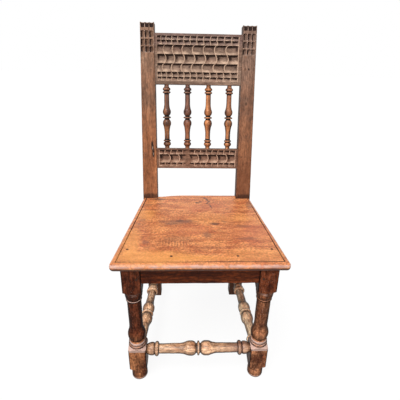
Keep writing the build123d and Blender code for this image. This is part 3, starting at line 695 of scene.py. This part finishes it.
shape = carved_rail(lower_bottom, lower_height, lower_carved, lower_rows,
                    crowding=1.0, faded=worn_at_knot, seed=23)
lower_oak = oak_finish(
    "lower_rail_oak",
    heart=(0.140, 0.066, 0.041),
    pale=(0.245, 0.130, 0.083),
    rubbed_and_lit=(0.62, 0.40, 0.28),
    grime_and_shade=(0.022, 0.010, 0.007),
    grain=along_x,
    start=(0, 0, 0.4),
    patch=(0.76, 0.66, 0.62),
    rubbing=0.85,
    dirt=0.95,
    fibrous=0.18,
    mottled=0.22,
    stains_and_painted_light=(((knot_x, 0.16, 0.605), (0.006, 0.05, 0.012), 0.35, (0.10, 0.05, 0.03)),),
)
finish_piece(shape, "lower_back_rail", lower_oak, sharpest=60)

# ------------------------------------------------------------------------------------------------
# Back spindles: four turned and waxed balusters with round tenons in the crest and lower rails.
# Two bulbs meet at a thin ring in the middle; a ring and a bead close each end.
# ------------------------------------------------------------------------------------------------
# distance along the spindle, radius, swell of the arc up to there: millimetres
spindle_outline = (
    (-14.0, 0.0, 0.0), (-14.0, 6.0, 0.0), (0.0, 6.0, 0.0), (0.0, 8.4, 0.0),
    (9.0, 8.8, -0.4), (23.0, 9.4, 4.4), (24.4, 9.0, 0.0), (25.2, 12.3, 0.2),
    (29.8, 12.3, 1.0), (31.0, 9.2, -0.4), (52.0, 8.9, 0.0), (78.5, 12.2, -0.6),
    (102.0, 8.6, 4.2), (104.6, 8.4, 0.0), (105.4, 12.8, 0.2), (110.4, 12.8, 1.5),
    (111.4, 8.4, 0.2), (114.0, 8.6, 0.0), (135.4, 11.9, 3.9), (157.0, 9.0, -0.8),
    (185.5, 8.7, 0.0), (188.2, 10.0, -0.4), (189.4, 12.5, 0.0), (194.4, 12.5, 1.3),
    (195.6, 9.4, 0.0), (196.8, 9.4, 0.0), (208.0, 9.0, 4.2), (217.0, 8.0, -0.6),
    (217.0, 6.0, 0.0), (231.0, 6.0, 0.0), (231.0, 0.0, 0.0),
)
spindle_span = 217 * mm
spindle_middle = 292 * mm  # above the seat, along the posts
spindle_sides = 36
spindle_rings = (27.5 * mm, 107.9 * mm, 191.9 * mm)
ring_shade_reach = 8.5 * mm  # dirt and painted shade beside a ring, where the bulbs' undersides lie in shadow: how far along the spindle,
ring_shade_radius = 12 * mm  # and how far out


def outline_arcs(steps, spacing):
    """The points of a turned outline, in metres: x is the radius, z the distance along the axis."""
    points = [Vector((steps[0][1], 0, steps[0][0])) * mm]
    for (low, radius, _), (high, next_radius, swell) in zip(steps, steps[1:]):
        start = Vector((radius, 0, low))
        chord = Vector((next_radius, 0, high)) - start
        outward = Vector((chord.z, 0, -chord.x)).normalized()
        count = max(1, round((chord.length + abs(swell)) / spacing))
        half_turn = 2 * math.atan2(2 * abs(swell), chord.length)
        for number in range(1, count + 1):
            if swell:
                turn = half_turn * (2 * number / count - 1)
                arc_radius = chord.length / 2 / math.sin(half_turn)
                along = 0.5 + math.sin(turn) * arc_radius / chord.length
                rise = (math.cos(turn) - math.cos(half_turn)) * arc_radius * math.copysign(1, swell)
            else:
                along = number / count
                rise = 0.0
            points.append((start + chord * along + outward * rise) * mm)
    return points


def turned_shape(steps, spacing, sides):
    """Spins the outline, its points spacing millimetres apart, into a closed turning about Z."""
    shape = bmesh.new()
    verts = [shape.verts.new(point) for point in outline_arcs(steps, spacing)]
    edges = [shape.edges.new(pair) for pair in zip(verts, verts[1:])]
    bmesh.ops.spin(shape, geom=verts + edges, cent=(0, 0, 0), axis=(0, 0, 1), dvec=(0, 0, 0),
                   angle=2 * math.pi, steps=sides, use_merge=True, use_duplicate=False)
    bmesh.ops.remove_doubles(shape, verts=shape.verts, dist=0.01 * mm)
    bmesh.ops.recalc_face_normals(shape, faces=shape.faces)
    return shape


spindle_colours = (
    dict(heart=(0.110, 0.044, 0.022), pale=(0.560, 0.215, 0.072), change=((0.58, 0.62, 0.95), 0.70, 0.80)),
    dict(heart=(0.070, 0.028, 0.017), pale=(0.330, 0.110, 0.040), change=((0.72, 0.90, 1.50), 0.68, 0.78)),
    dict(heart=(0.160, 0.052, 0.020), pale=(0.640, 0.235, 0.078), change=((1.00, 1.05, 1.15), 0.70, 0.80)),
    dict(heart=(0.110, 0.044, 0.022), pale=(0.540, 0.205, 0.072), change=((0.76, 0.78, 1.05), 0.72, 0.82)),
)
for number, colours in enumerate(spindle_colours, 1):
    name = "back_spindle_" + str(number)
    low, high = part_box(name)
    shape = turned_shape(spindle_outline, spacing=1.0, sides=spindle_sides)
    ridge, hollow = wear_layers(shape)
    for vert in shape.verts:
        # dirt and painted shade in the grooves beside the rings
        to_ring = min(abs(vert.co.z - ring) for ring in spindle_rings)
        beside_ring = clamp((ring_shade_reach - to_ring) / (3 * mm))
        vert[hollow] = 1.3 * beside_ring * clamp((ring_shade_radius - vert.co.xy.length) / (2 * mm))
    rub_down(shape, depth=0.35 * mm, spacing=16 * mm, seed=7 * number)
    place = back_plane @ Matrix.Translation(
        ((low.x + high.x) / 2, rail_face + rail_thickness / 2, spindle_middle - spindle_span / 2))
    bmesh.ops.transform(shape, matrix=place, verts=shape.verts)
    spindle_oak = oak_finish(
        name + "_oak",
        rubbed_and_lit=(0.56, 0.34, 0.22),
        grime_and_shade=(0.012, 0.005, 0.004),
        grain=(lean, 0, 0),
        start=(0.1 * number, 0, 0.1 * number),
        roughness=0.32,
        shine=0.28,
        patch=(0.42, 0.34, 0.32),
        rubbing=0.6,
        relief=0.15,
        shaded=0.8,
        **colours,
    )
    finish_piece(shape, name, spindle_oak, sharpest=40)

# ------------------------------------------------------------------------------------------------
# Front legs: square oak stock turned between an upper block, which holds the seat rails, and a
# lower block, which holds the stretchers. The square faces are what the lathe left standing.
# A round foot under the lower block; rings, bulb, long shaft and a swelled capital above it.
# ------------------------------------------------------------------------------------------------
# height above the floor, radius, swell of the arc up to there: millimetres
leg_outline = (
    (0.0, 0.0, 0.0), (0.0, 19.5, 0.0), (12.0, 24.4, 2.6), (33.0, 23.2, 1.0),
    (41.0, 21.0, 1.0), (43.0, 21.8, 0.0), (54.0, 39.5, -1.5), (126.0, 39.5, 0.0),
    (137.0, 26.2, 1.5), (138.0, 24.4, 0.0), (139.0, 24.4, 0.0), (147.0, 24.6, 2.6),
    (148.2, 22.6, 0.0), (149.6, 22.6, 0.0), (150.6, 25.4, 0.4), (158.0, 23.4, 1.6),
    (160.0, 20.6, 0.0), (163.0, 20.4, -0.5), (179.0, 26.9, 1.6), (198.0, 24.0, 1.3),
    (218.0, 20.6, -0.9), (314.0, 20.8, 0.0), (314.6, 22.2, 0.0), (318.8, 22.2, 1.1),
    (319.6, 21.2, 0.0), (337.0, 25.2, 1.2), (345.0, 26.0, 0.6), (348.0, 25.4, 0.5),
    (357.0, 39.5, -1.0), (435.0, 39.5, 0.0), (435.0, 0.0, 0.0),
)
# heights between which the turning is pale, and how much: worn by hands, feet and brooms, and on the
# upward-facing shoulders also a painted reflection of the sky
leg_pale_bands = ((0.0, 11.0, 0.7), (127.0, 137.5, 0.95), (139.5, 147.5, 0.55), (150.6, 159.0, 0.95),
              (340.0, 349.0, 0.35))
leg_ring_pale_band = {"left": (314.2, 319.2, 0.85), "right": (314.2, 319.2, 0.15)}
leg_low, leg_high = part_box("right_front_leg")
leg_half = (leg_high.x - leg_low.x) / 2
leg_middle = (leg_low + leg_high) / 2
leg_sides = 96
leg_crispness = {"left": 15, "right": 22}


def square_stock(shape, half, crispness):
    """Cuts the turning back to the four faces of the square stock and rubs the corners round."""
    faces = ((1, 0, 0), (-1, 0, 0), (0, 1, 0), (0, -1, 0))
    cut_across(shape, [(Vector(face) * half, face) for face in faces])
    for vert in shape.verts:
        a = abs(vert.co.x) / half
        b = abs(vert.co.y) / half
        reach = (a ** crispness + b ** crispness) ** (1 / crispness) if max(a, b) > 0.9 else 0.0
        if reach > 1:
            vert.co.x /= reach
            vert.co.y /= reach


# nicked: pale flecks, partly nicks in the wood and partly painted highlights on the turning
leg_colours = {
    "left": dict(heart=(0.210, 0.072, 0.030), pale=(0.680, 0.275, 0.115), nicked=0.3,
                 change=((0.23, 0.15, 0.15), 0.150, 0.205)),
    "right": dict(heart=(0.190, 0.070, 0.034), pale=(0.590, 0.245, 0.115), nicked=0.55,
                  change=((0.34, 0.21, 0.17), 0.300, 0.370)),
}
for side, sign in both_sides:
    shape = turned_shape(leg_outline, spacing=1.8, sides=leg_sides)
    square_stock(shape, leg_half, leg_crispness[side])
    ridge, hollow = wear_layers(shape)
    for vert in shape.verts:
        for low, high, amount in (*leg_pale_bands, leg_ring_pale_band[side]):
            if low * mm < vert.co.z < high * mm:
                vert[ridge] = amount
    rub_down(shape, depth=0.6 * mm, spacing=22 * mm, seed=31 + sign)
    bmesh.ops.translate(shape, verts=shape.verts, vec=(sign * leg_middle.x, leg_middle.y, 0))
    leg_oak = oak_finish(
        side + "_leg_oak",
        rubbed_and_lit=(0.60, 0.40, 0.33),
        grime_and_shade=(0.010, 0.004, 0.003),
        start=(0.2 * sign, 0.1, 0),
        shorter=(1, 1, 1.6),
        roughness=0.32,
        shine=0.045,
        patch=(0.45, 0.34, 0.31),
        fibrous=0.45,
        mottled=0.42,
        shaded=0.8,
        **leg_colours[side],
    )
    finish_piece(shape, side + "_front_leg", leg_oak)

# ------------------------------------------------------------------------------------------------
# Stretchers: four low turned rails, tenoned into the legs' lower blocks and the posts.
# Each has a thin ring at the middle between two bulbs, plain shafts, and a collar and a tapered
# bead at each end. Feet and shoes have worn them pale; the left one is worn most. The side ones are
# painted paler still, for the light that falls on them under the seat.
# ------------------------------------------------------------------------------------------------
# distance from the middle, radius, swell: millimetres; the shaft takes up what length is left
stretcher_heart = (
    (0.0, 21.6, 0.0), (3.6, 19.4, 1.2), (4.8, 15.4, 0.0), (7.8, 15.2, -0.3),
    (10.0, 18.6, 0.6), (25.0, 22.6, 1.5), (40.0, 19.6, 1.0), (58.0, 16.0, -0.7),
)
# distance from the leg or post, radius, swell
stretcher_end = (
    (38.5, 15.0, 0.0), (37.0, 19.6, 0.2), (26.0, 19.6, 3.0), (24.5, 17.6, 0.2),
    (23.4, 17.6, 0.0), (22.0, 19.6, 0.2), (0.0, 14.0, 2.6), (-6.0, 13.0, 0.0), (-6.0, 0.0, 0.0),
)
leg_back = leg_high.y
leg_inner = leg_low.x
post_inner = post_low.x
side_rear_x = post_inner + 23.5 * mm  # where the side stretchers enter the posts
post_middle_y = post_front + post_depth / 2
side_height = 85 * mm
front_height = 113 * mm
side_tail = 44 * mm  # plain, between the side stretchers' rear collars and the posts
stretcher_sides = 56
along_y = (math.pi / 2, 0, 0)
mirror_x = Vector((-1, 1, 1))


def from_left_to_right(half_length, y, z):
    """Where a rail or stretcher that runs across the chair starts and ends."""
    end = Vector((half_length, y, z))
    return end * mirror_x, end


def from_leg_to_post(sign, front_x, rear_x, z):
    """The same for one that runs back along the side of that sign."""
    return Vector((sign * front_x, leg_back, z)), Vector((sign * rear_x, post_front, z))


def moved_along(steps, by):
    return [(distance + by, radius, swell) for distance, radius, swell in steps]


def stretcher_outline(length, tail):
    """The whole outline from end to end, the second half mirroring the first. A plain tail past the
    far collar moves the turning towards the near end by half its length."""
    shoulder = (length - tail) / 2 / mm
    half = list(stretcher_heart)
    half += [(shoulder - distance, radius, swell) for distance, radius, swell in stretcher_end]
    swells = [swell for distance, radius, swell in half[1:]] + [0.0]
    mirrored = [(-distance, radius, swell) for (distance, radius, _), swell in zip(half, swells)]
    half[-2:] = moved_along(half[-2:], tail / mm)
    return moved_along(mirrored[::-1] + half[1:], -tail / 2 / mm)


def stretcher_shape(start, end, tail, wear, seed):
    """A stretcher from one shoulder to the other."""
    axis = end - start
    shape = turned_shape(stretcher_outline(axis.length, tail), spacing=1.3, sides=stretcher_sides)
    rub_down(shape, depth=wear, spacing=18 * mm, seed=seed)
    turn = axis.to_track_quat("Z", "Y").to_matrix().to_4x4()
    bmesh.ops.transform(shape, matrix=Matrix.Translation((start + end) / 2) @ turn, verts=shape.verts)
    return shape


def forward_marks(rows, y, z, reach):
    """Marks on a face that looks forwards, painted shade and sheen among them. A row holds a mark's
    place across the chair and below z, its half sizes, strength and colour, in millimetres; reach is
    its half size from front to rear."""
    return [((x * mm, y, z - down * mm), (half_x * mm, reach, half_z * mm), strength, colour)
            for x, down, half_x, half_z, strength, colour in rows]


# the long mark 14 mm below the axis is painted shade along the underside of the stretcher
front_stretcher_marks_and_shade = (
    (130, 0, 42, 40, 0.60, (0.180, 0.082, 0.060)),
    (-145, 0, 20, 40, 0.55, (0.200, 0.085, 0.040)),
    (0, 14, 180, 11, 0.60, (0.170, 0.070, 0.040)),
    (-60, 12, 26, 10, 0.45, (0.200, 0.080, 0.045)),
    (85, 10, 30, 8, 0.40, (0.160, 0.075, 0.050)),
)
side_run = (leg_middle.x, side_rear_x, side_height)
# where each starts and ends, how deep it is worn, the length of its plain tail
stretchers = {
    "front_stretcher": (from_left_to_right(leg_inner, leg_middle.y, front_height), 0.9 * mm, 0.0),
    "rear_stretcher": (from_left_to_right(post_inner, post_middle_y, front_height), 0.4 * mm, 0.0),
    "left_stretcher": (from_leg_to_post(-1, *side_run), 1.8 * mm, side_tail),
    "right_stretcher": (from_leg_to_post(1, *side_run), 1.3 * mm, side_tail),
}
stretcher_looks = {
    "front_stretcher": dict(
        heart=(0.255, 0.122, 0.060), pale=(0.900, 0.540, 0.320), rubbed_and_lit=(0.86, 0.64, 0.50), grain=along_x,
        stains_and_painted_light=forward_marks(front_stretcher_marks_and_shade, leg_middle.y, front_height, 50 * mm)),
    "rear_stretcher": dict(
        heart=(0.150, 0.068, 0.034), pale=(0.300, 0.150, 0.075), rubbed_and_lit=(0.45, 0.30, 0.20), grain=along_x),
    # the side stretchers are painted paler than the front one, for the light that reaches them from the
    # sides under the seat
    "left_stretcher": dict(
        heart=(0.620, 0.290, 0.130), pale=(1.000, 0.640, 0.390), rubbed_and_lit=(0.95, 0.74, 0.58), grain=along_y),
    "right_stretcher": dict(
        heart=(1.000, 0.480, 0.245), pale=(1.000, 0.740, 0.480), rubbed_and_lit=(1.00, 0.82, 0.68), grain=along_y),
}
for number, (name, ((start, end), wear, tail)) in enumerate(stretchers.items()):
    shape = stretcher_shape(start, end, tail, wear, 41 + 3 * number)
    stretcher_oak = oak_finish(
        name + "_oak",
        grime_and_shade=(0.024, 0.010, 0.006),
        start=(0.1 * number, 0.3, 0.2),
        roughness=0.34,
        shine=0.45,
        patch=(0.50, 0.36, 0.28),
        nicked=0.3,
        fibrous=0.36,
        mottled=0.36,
        shaded=0.85,
        **stretcher_looks[name],
    )
    finish_piece(shape, name, stretcher_oak, sharpest=40)

# ------------------------------------------------------------------------------------------------
# Seat rails: four oak boards on edge, tenoned into the tops of the legs and into the posts,
# just under the seat board; their dark tone is deepened with painted shade. Their lower edges are worn
# uneven.
# ------------------------------------------------------------------------------------------------
rail_height = 50 * mm
seat_rail_thickness = 30 * mm
rail_setback = 4 * mm
rail_inset = rail_setback + seat_rail_thickness / 2  # from the faces of legs and posts to its middle
rail_middle = leg_high.z - rail_height / 2
rail_lengths = 40  # rows of faces along a rail, and up it
rail_layers = 7


def rail_board(start, end, seed):
    """A board on edge between two shoulders, its arrises rounded and its faces slightly uneven."""
    length = (end - start).length
    shape = bmesh.new()
    size = Matrix.Diagonal((length, seat_rail_thickness, rail_height, 1))
    bmesh.ops.create_cube(shape, size=1.0, matrix=size)
    long_edges = []
    for edge in shape.edges:
        if abs(edge.verts[0].co.x - edge.verts[1].co.x) > length / 2:
            long_edges.append(edge)
    round_edges(shape, long_edges, 2.0 * mm, segments=4)
    lengths = [length * (step / rail_lengths - 0.5) for step in range(1, rail_lengths)]
    layers = [rail_height * (step / rail_layers - 0.5) for step in range(1, rail_layers)]
    cut_across(shape, [((x, 0, 0), (1, 0, 0)) for x in lengths])
    cut_across(shape, [((0, 0, z), (0, 0, 1)) for z in layers])
    rub_down(shape, depth=0.8 * mm, spacing=26 * mm, seed=seed)
    turn = Matrix.Rotation(math.atan2(end.y - start.y, end.x - start.x), 4, "Z")
    bmesh.ops.transform(shape, matrix=Matrix.Translation((start + end) / 2) @ turn, verts=shape.verts)
    return shape


side_rail = (leg_high.x - rail_inset, post_high.x - rail_inset, rail_middle)
seat_rails = {
    "front_seat_rail": from_left_to_right(leg_inner, leg_low.y + rail_inset, rail_middle),
    "rear_seat_rail": from_left_to_right(post_inner, post_front + post_depth - rail_inset, rail_middle),
    "left_seat_rail": from_leg_to_post(-1, *side_rail),
    "right_seat_rail": from_leg_to_post(1, *side_rail),
}
for number, (name, (start, end)) in enumerate(seat_rails.items()):
    # their dark colours are partly the oak's own tone and partly painted shade from the seat above
    rail_oak = oak_finish(
        name + "_oak",
        heart=(0.042, 0.0075, 0.0025),
        pale=(0.138, 0.030, 0.0075),
        rubbed_and_lit=(0.26, 0.10, 0.05),
        grime_and_shade=(0.010, 0.003, 0.002),
        grain=along_x if start.y == end.y else along_y,
        start=(0, 0.2 * number, 0),
        roughness=0.45,
        shine=0.08,
        patch=(0.55, 0.45, 0.45),
        rubbing=0.5,
        nicked=0.14,
        fibrous=0.5,
        mottled=0.4,
    )
    finish_piece(rail_board(start, end, 61 + number), name, rail_oak)

# ------------------------------------------------------------------------------------------------
# Seat board: one wide waxed board, notched round the posts, its grain from side to side.
# The front and the sides have a rounded nosing and an incised line inside it. Sitting has worn the
# rear edge back beside the left post, and left dark marks and a short crack near the back.
# ------------------------------------------------------------------------------------------------
seat_front = seat_low.y
seat_rear = post_front - 0.3 * mm
seat_tongue = seat_high.y
seat_half_front = 242 * mm  # where its front and side edges would meet
seat_half_rear = 200 * mm
seat_corner_round = 13 * mm
tongue_half = post_inner - 0.3 * mm
seat_thickness = seat_high.z - seat_low.z
nosing_round = 11 * mm
line_inset = 14 * mm  # of the line along the front
side_line_insets = {-1: (17 * mm, 14 * mm), 1: (17 * mm, 10.5 * mm)}  # in front and at the posts
line_cuts = (-2.2 * mm, -1.2 * mm, 0.0, 1.2 * mm, 2.2 * mm)  # the grid's, beside the line's middle
line_depth = 1.9 * mm
line_dirt = 0.72
nosing_highlight = 0.62
nosing_highlight_at = 7 * mm  # below the top: there the painted highlight is strongest
nosing_shade_from = 10 * mm  # below the top: from there on the nosing's underside gets painted shade
rear_worn_off = 12 * mm  # at the left end of the tongue
rear_worn_from = -60 * mm  # no wear to the right of this
rear_worn_run = 70 * mm  # from there to the full depth
board_rows = 54  # of faces, from front to rear
board_columns = 60
side_slope = (seat_half_front - seat_half_rear) / (seat_rear - seat_front)
side_normal = Vector((1, side_slope, 0)).normalized()


def inside_side(place):
    """How far a point lies inside the nearer slanted side of the seat."""
    corner = Vector((seat_half_front, seat_front, 0))
    return (corner - Vector((abs(place.x), place.y, 0))).dot(side_normal)


def side_line(sign):
    """The incised line along one side: a point on it, and the direction inwards from it."""
    front_inset, rear_inset = side_line_insets[sign]
    start = Vector((sign * (seat_half_front - front_inset), seat_front, 0))
    along = Vector((sign * (seat_half_rear - rear_inset), seat_rear, 0)) - start
    return start, Vector((-along.y, along.x, 0)).normalized() * sign


def seat_shape():
    """The board with rounded corners and nosing, cut into a grid that is close along its line."""
    shape = bmesh.new()
    corners = (
        (-seat_half_front, seat_front), (seat_half_front, seat_front), (seat_half_rear, seat_rear),
        (tongue_half, seat_rear), (tongue_half, seat_tongue), (-tongue_half, seat_tongue),
        (-tongue_half, seat_rear), (-seat_half_rear, seat_rear),
    )
    board = shape.faces.new([shape.verts.new((x, y, seat_top)) for x, y in corners])
    made = bmesh.ops.extrude_face_region(shape, geom=[board])["geom"]
    lowered = [item for item in made if isinstance(item, bmesh.types.BMVert)]
    bmesh.ops.translate(shape, verts=lowered, vec=(0, 0, -seat_thickness))
    bmesh.ops.recalc_face_normals(shape, faces=shape.faces)
    corner_edges = []
    for edge in shape.edges:
        upright = abs(edge.verts[0].co.z - edge.verts[1].co.z) > mm
        if upright and edge.verts[0].co.y < seat_front + mm:
            corner_edges.append(edge)
    round_edges(shape, corner_edges, seat_corner_round, segments=6)
    nosing = []
    for edge in shape.edges:
        middle = (edge.verts[0].co + edge.verts[1].co) / 2
        level = abs(edge.verts[0].co.z - edge.verts[1].co.z) < mm
        if level and (middle.y < seat_front + seat_corner_round or inside_side(middle) < mm):
            nosing.append(edge)
    round_edges(shape, nosing, nosing_round, segments=7)
    cuts = []
    for offset in line_cuts:
        cuts.append(((0, seat_front + line_inset + offset, 0), (0, 1, 0)))
        for sign in (-1, 1):
            line_point, inward = side_line(sign)
            cuts.append((line_point + inward * offset, inward))
    for step in range(1, board_rows):
        cuts.append(((0, seat_front + (seat_tongue - seat_front) * step / board_rows, 0), (0, 1, 0)))
    for step in range(1, board_columns):
        share = 2 * step / board_columns - 1
        slant = Vector((1, share * side_slope, 0)).normalized()
        cuts.append(((seat_half_front * share, seat_front, 0), slant))
    cut_across(shape, cuts)
    return shape


def wear_seat(shape):
    """Cuts the incised line, paints a highlight along the nosing and shade under it, and wears back the
    edge by the left post.
    """
    ridge, hollow = wear_layers(shape)
    half_line = line_cuts[-2]
    side_lines = {sign: side_line(sign) for sign in (-1, 1)}
    for vert in shape.verts:
        below = seat_top - vert.co.z
        line_point, inward = side_lines[1 if vert.co.x > 0 else -1]
        from_front = vert.co.y - seat_front - line_inset
        from_side = (vert.co - line_point).xy.dot(inward.xy)
        to_line = abs(min(from_front, from_side))
        if below < 0.1 * mm and to_line < half_line + 0.05 * mm:
            vert.co.z -= line_depth * (1 - to_line / half_line)
            vert[hollow] = line_dirt
        elif vert.co.y < seat_front + nosing_round or inside_side(vert.co) < nosing_round:
            # a highlight is painted along the nosing, and shade on its underside
            vert[ridge] = nosing_highlight * clamp(1.6 - abs(below - nosing_highlight_at) / (4 * mm))
            vert[hollow] = 0.85 * clamp((below - nosing_shade_from) / (6 * mm))
    for vert in shape.verts:
        if vert.co.y > seat_rear + 8 * mm:
            worn = rear_worn_off * clamp((rear_worn_from - vert.co.x) / rear_worn_run) ** 1.5
            vert.co.y -= worn * (vert.co.y - seat_rear) / (seat_tongue - seat_rear)


shape = seat_shape()
wear_seat(shape)
rub_down(shape, depth=0.7 * mm, spacing=45 * mm, seed=83)
browned = (0.200, 0.088, 0.055)
darkened = (0.085, 0.042, 0.030)
yellowed = (0.900, 0.390, 0.100)
reddened = (0.600, 0.185, 0.080)
painted_sheen = (0.400, 0.235, 0.205)
mark_reach = 30 * mm  # half size of a mark from the surface into the wood
# middle of the mark on the board, its half sizes, strength, colour: millimetres; the darkened ones
# from (28, 139) to (50, 58) are the crack
seat_marks = (
    (-135, -240, 130, 34, 0.50, yellowed), (-10, -246, 90, 14, 0.35, yellowed),
    (-175, 5, 30, 40, 0.35, yellowed), (-196, -170, 26, 80, 0.45, yellowed),
    (150, -232, 90, 34, 0.25, yellowed), (150, -15, 40, 26, 0.25, yellowed),
    (40, -20, 80, 40, 0.20, yellowed), (150, -110, 70, 50, 0.40, reddened),
    (-30, -100, 60, 36, 0.35, reddened), (20, 60, 120, 26, 0.35, reddened),
    (-63, -44, 48, 13, 0.60, browned), (-88, -58, 24, 7, 0.60, browned),
    (-58, -38, 12, 7, 0.60, darkened), (-30, -36, 11, 9, 0.50, browned),
    (-117, -42, 16, 6, 0.50, browned), (52, -57, 17, 8, 0.75, darkened),
    (84, -45, 10, 5, 0.40, browned), (23, -126, 14, 19, 0.60, browned),
    (-155, -166, 12, 9, 0.55, browned), (-180, -31, 12, 7, 0.55, browned),
    (-190, -59, 9, 5, 0.60, browned), (-174, 80, 16, 6, 0.60, browned),
    (-132, 90, 18, 4, 0.65, darkened), (-140, 128, 28, 8, 0.75, darkened),
    (-2, 99, 7, 6, 0.80, darkened), (6, 101, 6, 4, 0.60, browned), (12, 107, 5, 7, 0.70, darkened),
    (28, 139, 4, 6, 0.90, darkened), (34, 131, 4, 6, 0.95, darkened),
    (38, 121, 3, 8, 0.95, darkened), (43, 110, 5, 5, 0.95, darkened),
    (39, 101, 4, 5, 0.85, darkened), (35, 92, 4, 5, 0.85, darkened), (43, 83, 4, 4, 0.75, darkened),
    (47, 71, 3, 7, 0.95, darkened), (50, 58, 3, 5, 0.80, darkened), (104, 48, 9, 4, 0.60, browned),
    (187, 80, 14, 34, 0.55, browned), (144, -147, 38, 8, 0.50, browned),
    (138, -72, 26, 9, 0.45, browned), (-66, -150, 46, 16, 0.30, browned),
    (40, -196, 60, 7, 0.25, browned), (-150, 40, 60, 5, 0.30, browned),
)
# the same on the rounded front edge, for forward_marks; the pale greyish ones are a sheen painted along it
edge_marks = (
    (-205, 9, 22, 3, 0.55, painted_sheen), (-165, 10, 14, 2, 0.75, painted_sheen), (-120, 8, 16, 2, 0.55, painted_sheen),
    (-70, 9, 24, 2, 0.60, painted_sheen), (-15, 8, 30, 2, 0.50, painted_sheen), (40, 9, 22, 2, 0.55, painted_sheen),
    (95, 8, 26, 2, 0.55, painted_sheen), (150, 9, 18, 2, 0.50, painted_sheen), (205, 8, 22, 4, 0.60, painted_sheen),
    (-85, 18, 6, 4, 0.70, darkened), (-30, 18, 9, 4, 0.75, darkened), (5, 19, 5, 3, 0.60, darkened),
    (48, 18, 12, 4, 0.75, darkened), (120, 18, 10, 4, 0.75, darkened),
    (170, 19, 8, 4, 0.60, darkened),
)
seat_oak = oak_finish(
    "seat_oak",
    heart=(0.490, 0.152, 0.055),
    pale=(0.790, 0.305, 0.112),
    rubbed_and_lit=(0.66, 0.42, 0.34),
    grime_and_shade=(0.080, 0.030, 0.016),
    grain=along_x,
    shorter=(2.4, 1, 1),
    roughness=0.38,
    shine=0.35,
    patch=(0.80, 0.64, 0.66),
    nicked=0.10,
    fibrous=0.20,
    mottled=0.34,
    relief=0.12,
    shaded=0.05,
    stains_and_painted_light=[((x * mm, y * mm, seat_top), (half_x * mm, half_y * mm, mark_reach), strength, colour)
            for x, y, half_x, half_y, strength, colour in seat_marks]
    + forward_marks(edge_marks, seat_front, seat_top, mark_reach),
    curl=((-0.066, -0.166, seat_top), (0.060, 0.024, 0.03), 0.40, 8.5 * mm),
)
finish_piece(shape, "seat_board", seat_oak)

# ------------------------------------------------------------------------------------------------
# Pegs: shaved oak pins driven through the joints and through the seat board into the rails.
# Their dark end grain shows flush with the wood round it.
# ------------------------------------------------------------------------------------------------
peg_looks = {
    "crest_rail_pegs": dict(heart=(0.210, 0.105, 0.064), pale=(0.320, 0.170, 0.105)),
    "lower_back_rail_pegs": dict(heart=(0.210, 0.078, 0.036), pale=(0.360, 0.140, 0.064)),
    "seat_rail_pegs": dict(heart=(0.040, 0.016, 0.010), pale=(0.090, 0.036, 0.020)),
    "seat_board_pegs": dict(heart=(0.110, 0.055, 0.036), pale=(0.230, 0.115, 0.070)),
}
for name, colours in peg_looks.items():
    peg_oak = oak_finish(
        name + "_oak",
        rubbed_and_lit=(0.30, 0.16, 0.10),
        grime_and_shade=(0.020, 0.011, 0.008),
        **colours,
    )
    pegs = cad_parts[name]
    pegs.data.materials.clear()
    pegs.data.materials.append(peg_oak)

# ------------------------------------------------------------------------------------------------
# The room: a pale floor, broad soft lamps overhead and in front, an even pale world, and the
# camera, which looks down on the chair from close in front of it.
# ------------------------------------------------------------------------------------------------
floor_half = 12.0


def seen(tree):
    """1 for what the camera sees, also in a mirror or through glass, and 0 for what only gives light."""
    path = add_node(tree, "LightPath", {}).outputs
    sight = maths(tree, "MAXIMUM", path["Is Camera Ray"], path["Is Glossy Ray"])
    return maths(tree, "MAXIMUM", sight, path["Is Transmission Ray"])


floor_paint = bpy.data.materials.new("floor_paint")
tree = empty_tree(floor_paint)
matt = add_node(tree, "BsdfDiffuse", {}, Color=(0.45, 0.44, 0.43, 1)).outputs[0]
shadowed = add_node(tree, "BsdfDiffuse", {}, Color=(0.10, 0.10, 0.10, 1)).outputs[0]
glow = add_node(tree, "Emission", {}, Color=(1, 1, 1, 1), Strength=0.91).outputs[0]
pale = add_node(tree, "AddShader", {}, shadowed, glow).outputs[0]
surface = add_node(tree, "MixShader", {}, seen(tree), matt, pale).outputs[0]
add_node(tree, "OutputMaterial", {}, surface)
shape = bmesh.new()
bmesh.ops.create_grid(shape, x_segments=1, y_segments=1, size=floor_half)
floor = make_object("floor", shape, floor_paint)

world = bpy.data.worlds.new("studio")
tree = empty_tree(world)
strength = maths(tree, "MULTIPLY_ADD", seen(tree), 0.62, 0.38)  # 0.38 as a light, 1 as a backdrop
background = add_node(tree, "Background", {}, Color=(1, 1, 1, 1), Strength=strength).outputs[0]
add_node(tree, "OutputWorld", {}, background)
bpy.context.scene.world = world


def daylight(name, towards, spread, power):
    """A distant soft lamp in that direction from the chair; spread is its width in degrees."""
    lamp = bpy.data.lights.new(name, "SUN")
    lamp.angle = math.radians(spread)
    lamp.energy = power
    holder = put_in_scene(name, lamp)
    holder.rotation_euler = Vector(towards).to_track_quat("Z", "Y").to_euler()


daylight("overhead", towards=(-0.45, -0.75, 1.60), spread=36, power=2.5)
daylight("front", towards=(-0.40, -1.6, 0.5), spread=70, power=1.3)

camera_place = Vector((-0.03768, -0.98120, 0.97565))
camera_right = Vector((0.99919762, -0.034805, 0.01981754))
camera_up = Vector((-0.00320902, 0.42363972, 0.90582509))
focal_share = 330.12 / 400  # focal length over the width of the frame
camera_data = bpy.data.cameras.new("camera")
camera_data.lens = camera_data.sensor_width * focal_share
camera_data.clip_start = 0.02
camera = put_in_scene("camera", camera_data)
turn = Matrix((camera_right, camera_up, camera_right.cross(camera_up))).transposed().to_4x4()
camera.matrix_world = Matrix.Translation(camera_place) @ turn
bpy.context.scene.camera = camera
bpy.context.scene.view_settings.view_transform = "Standard"
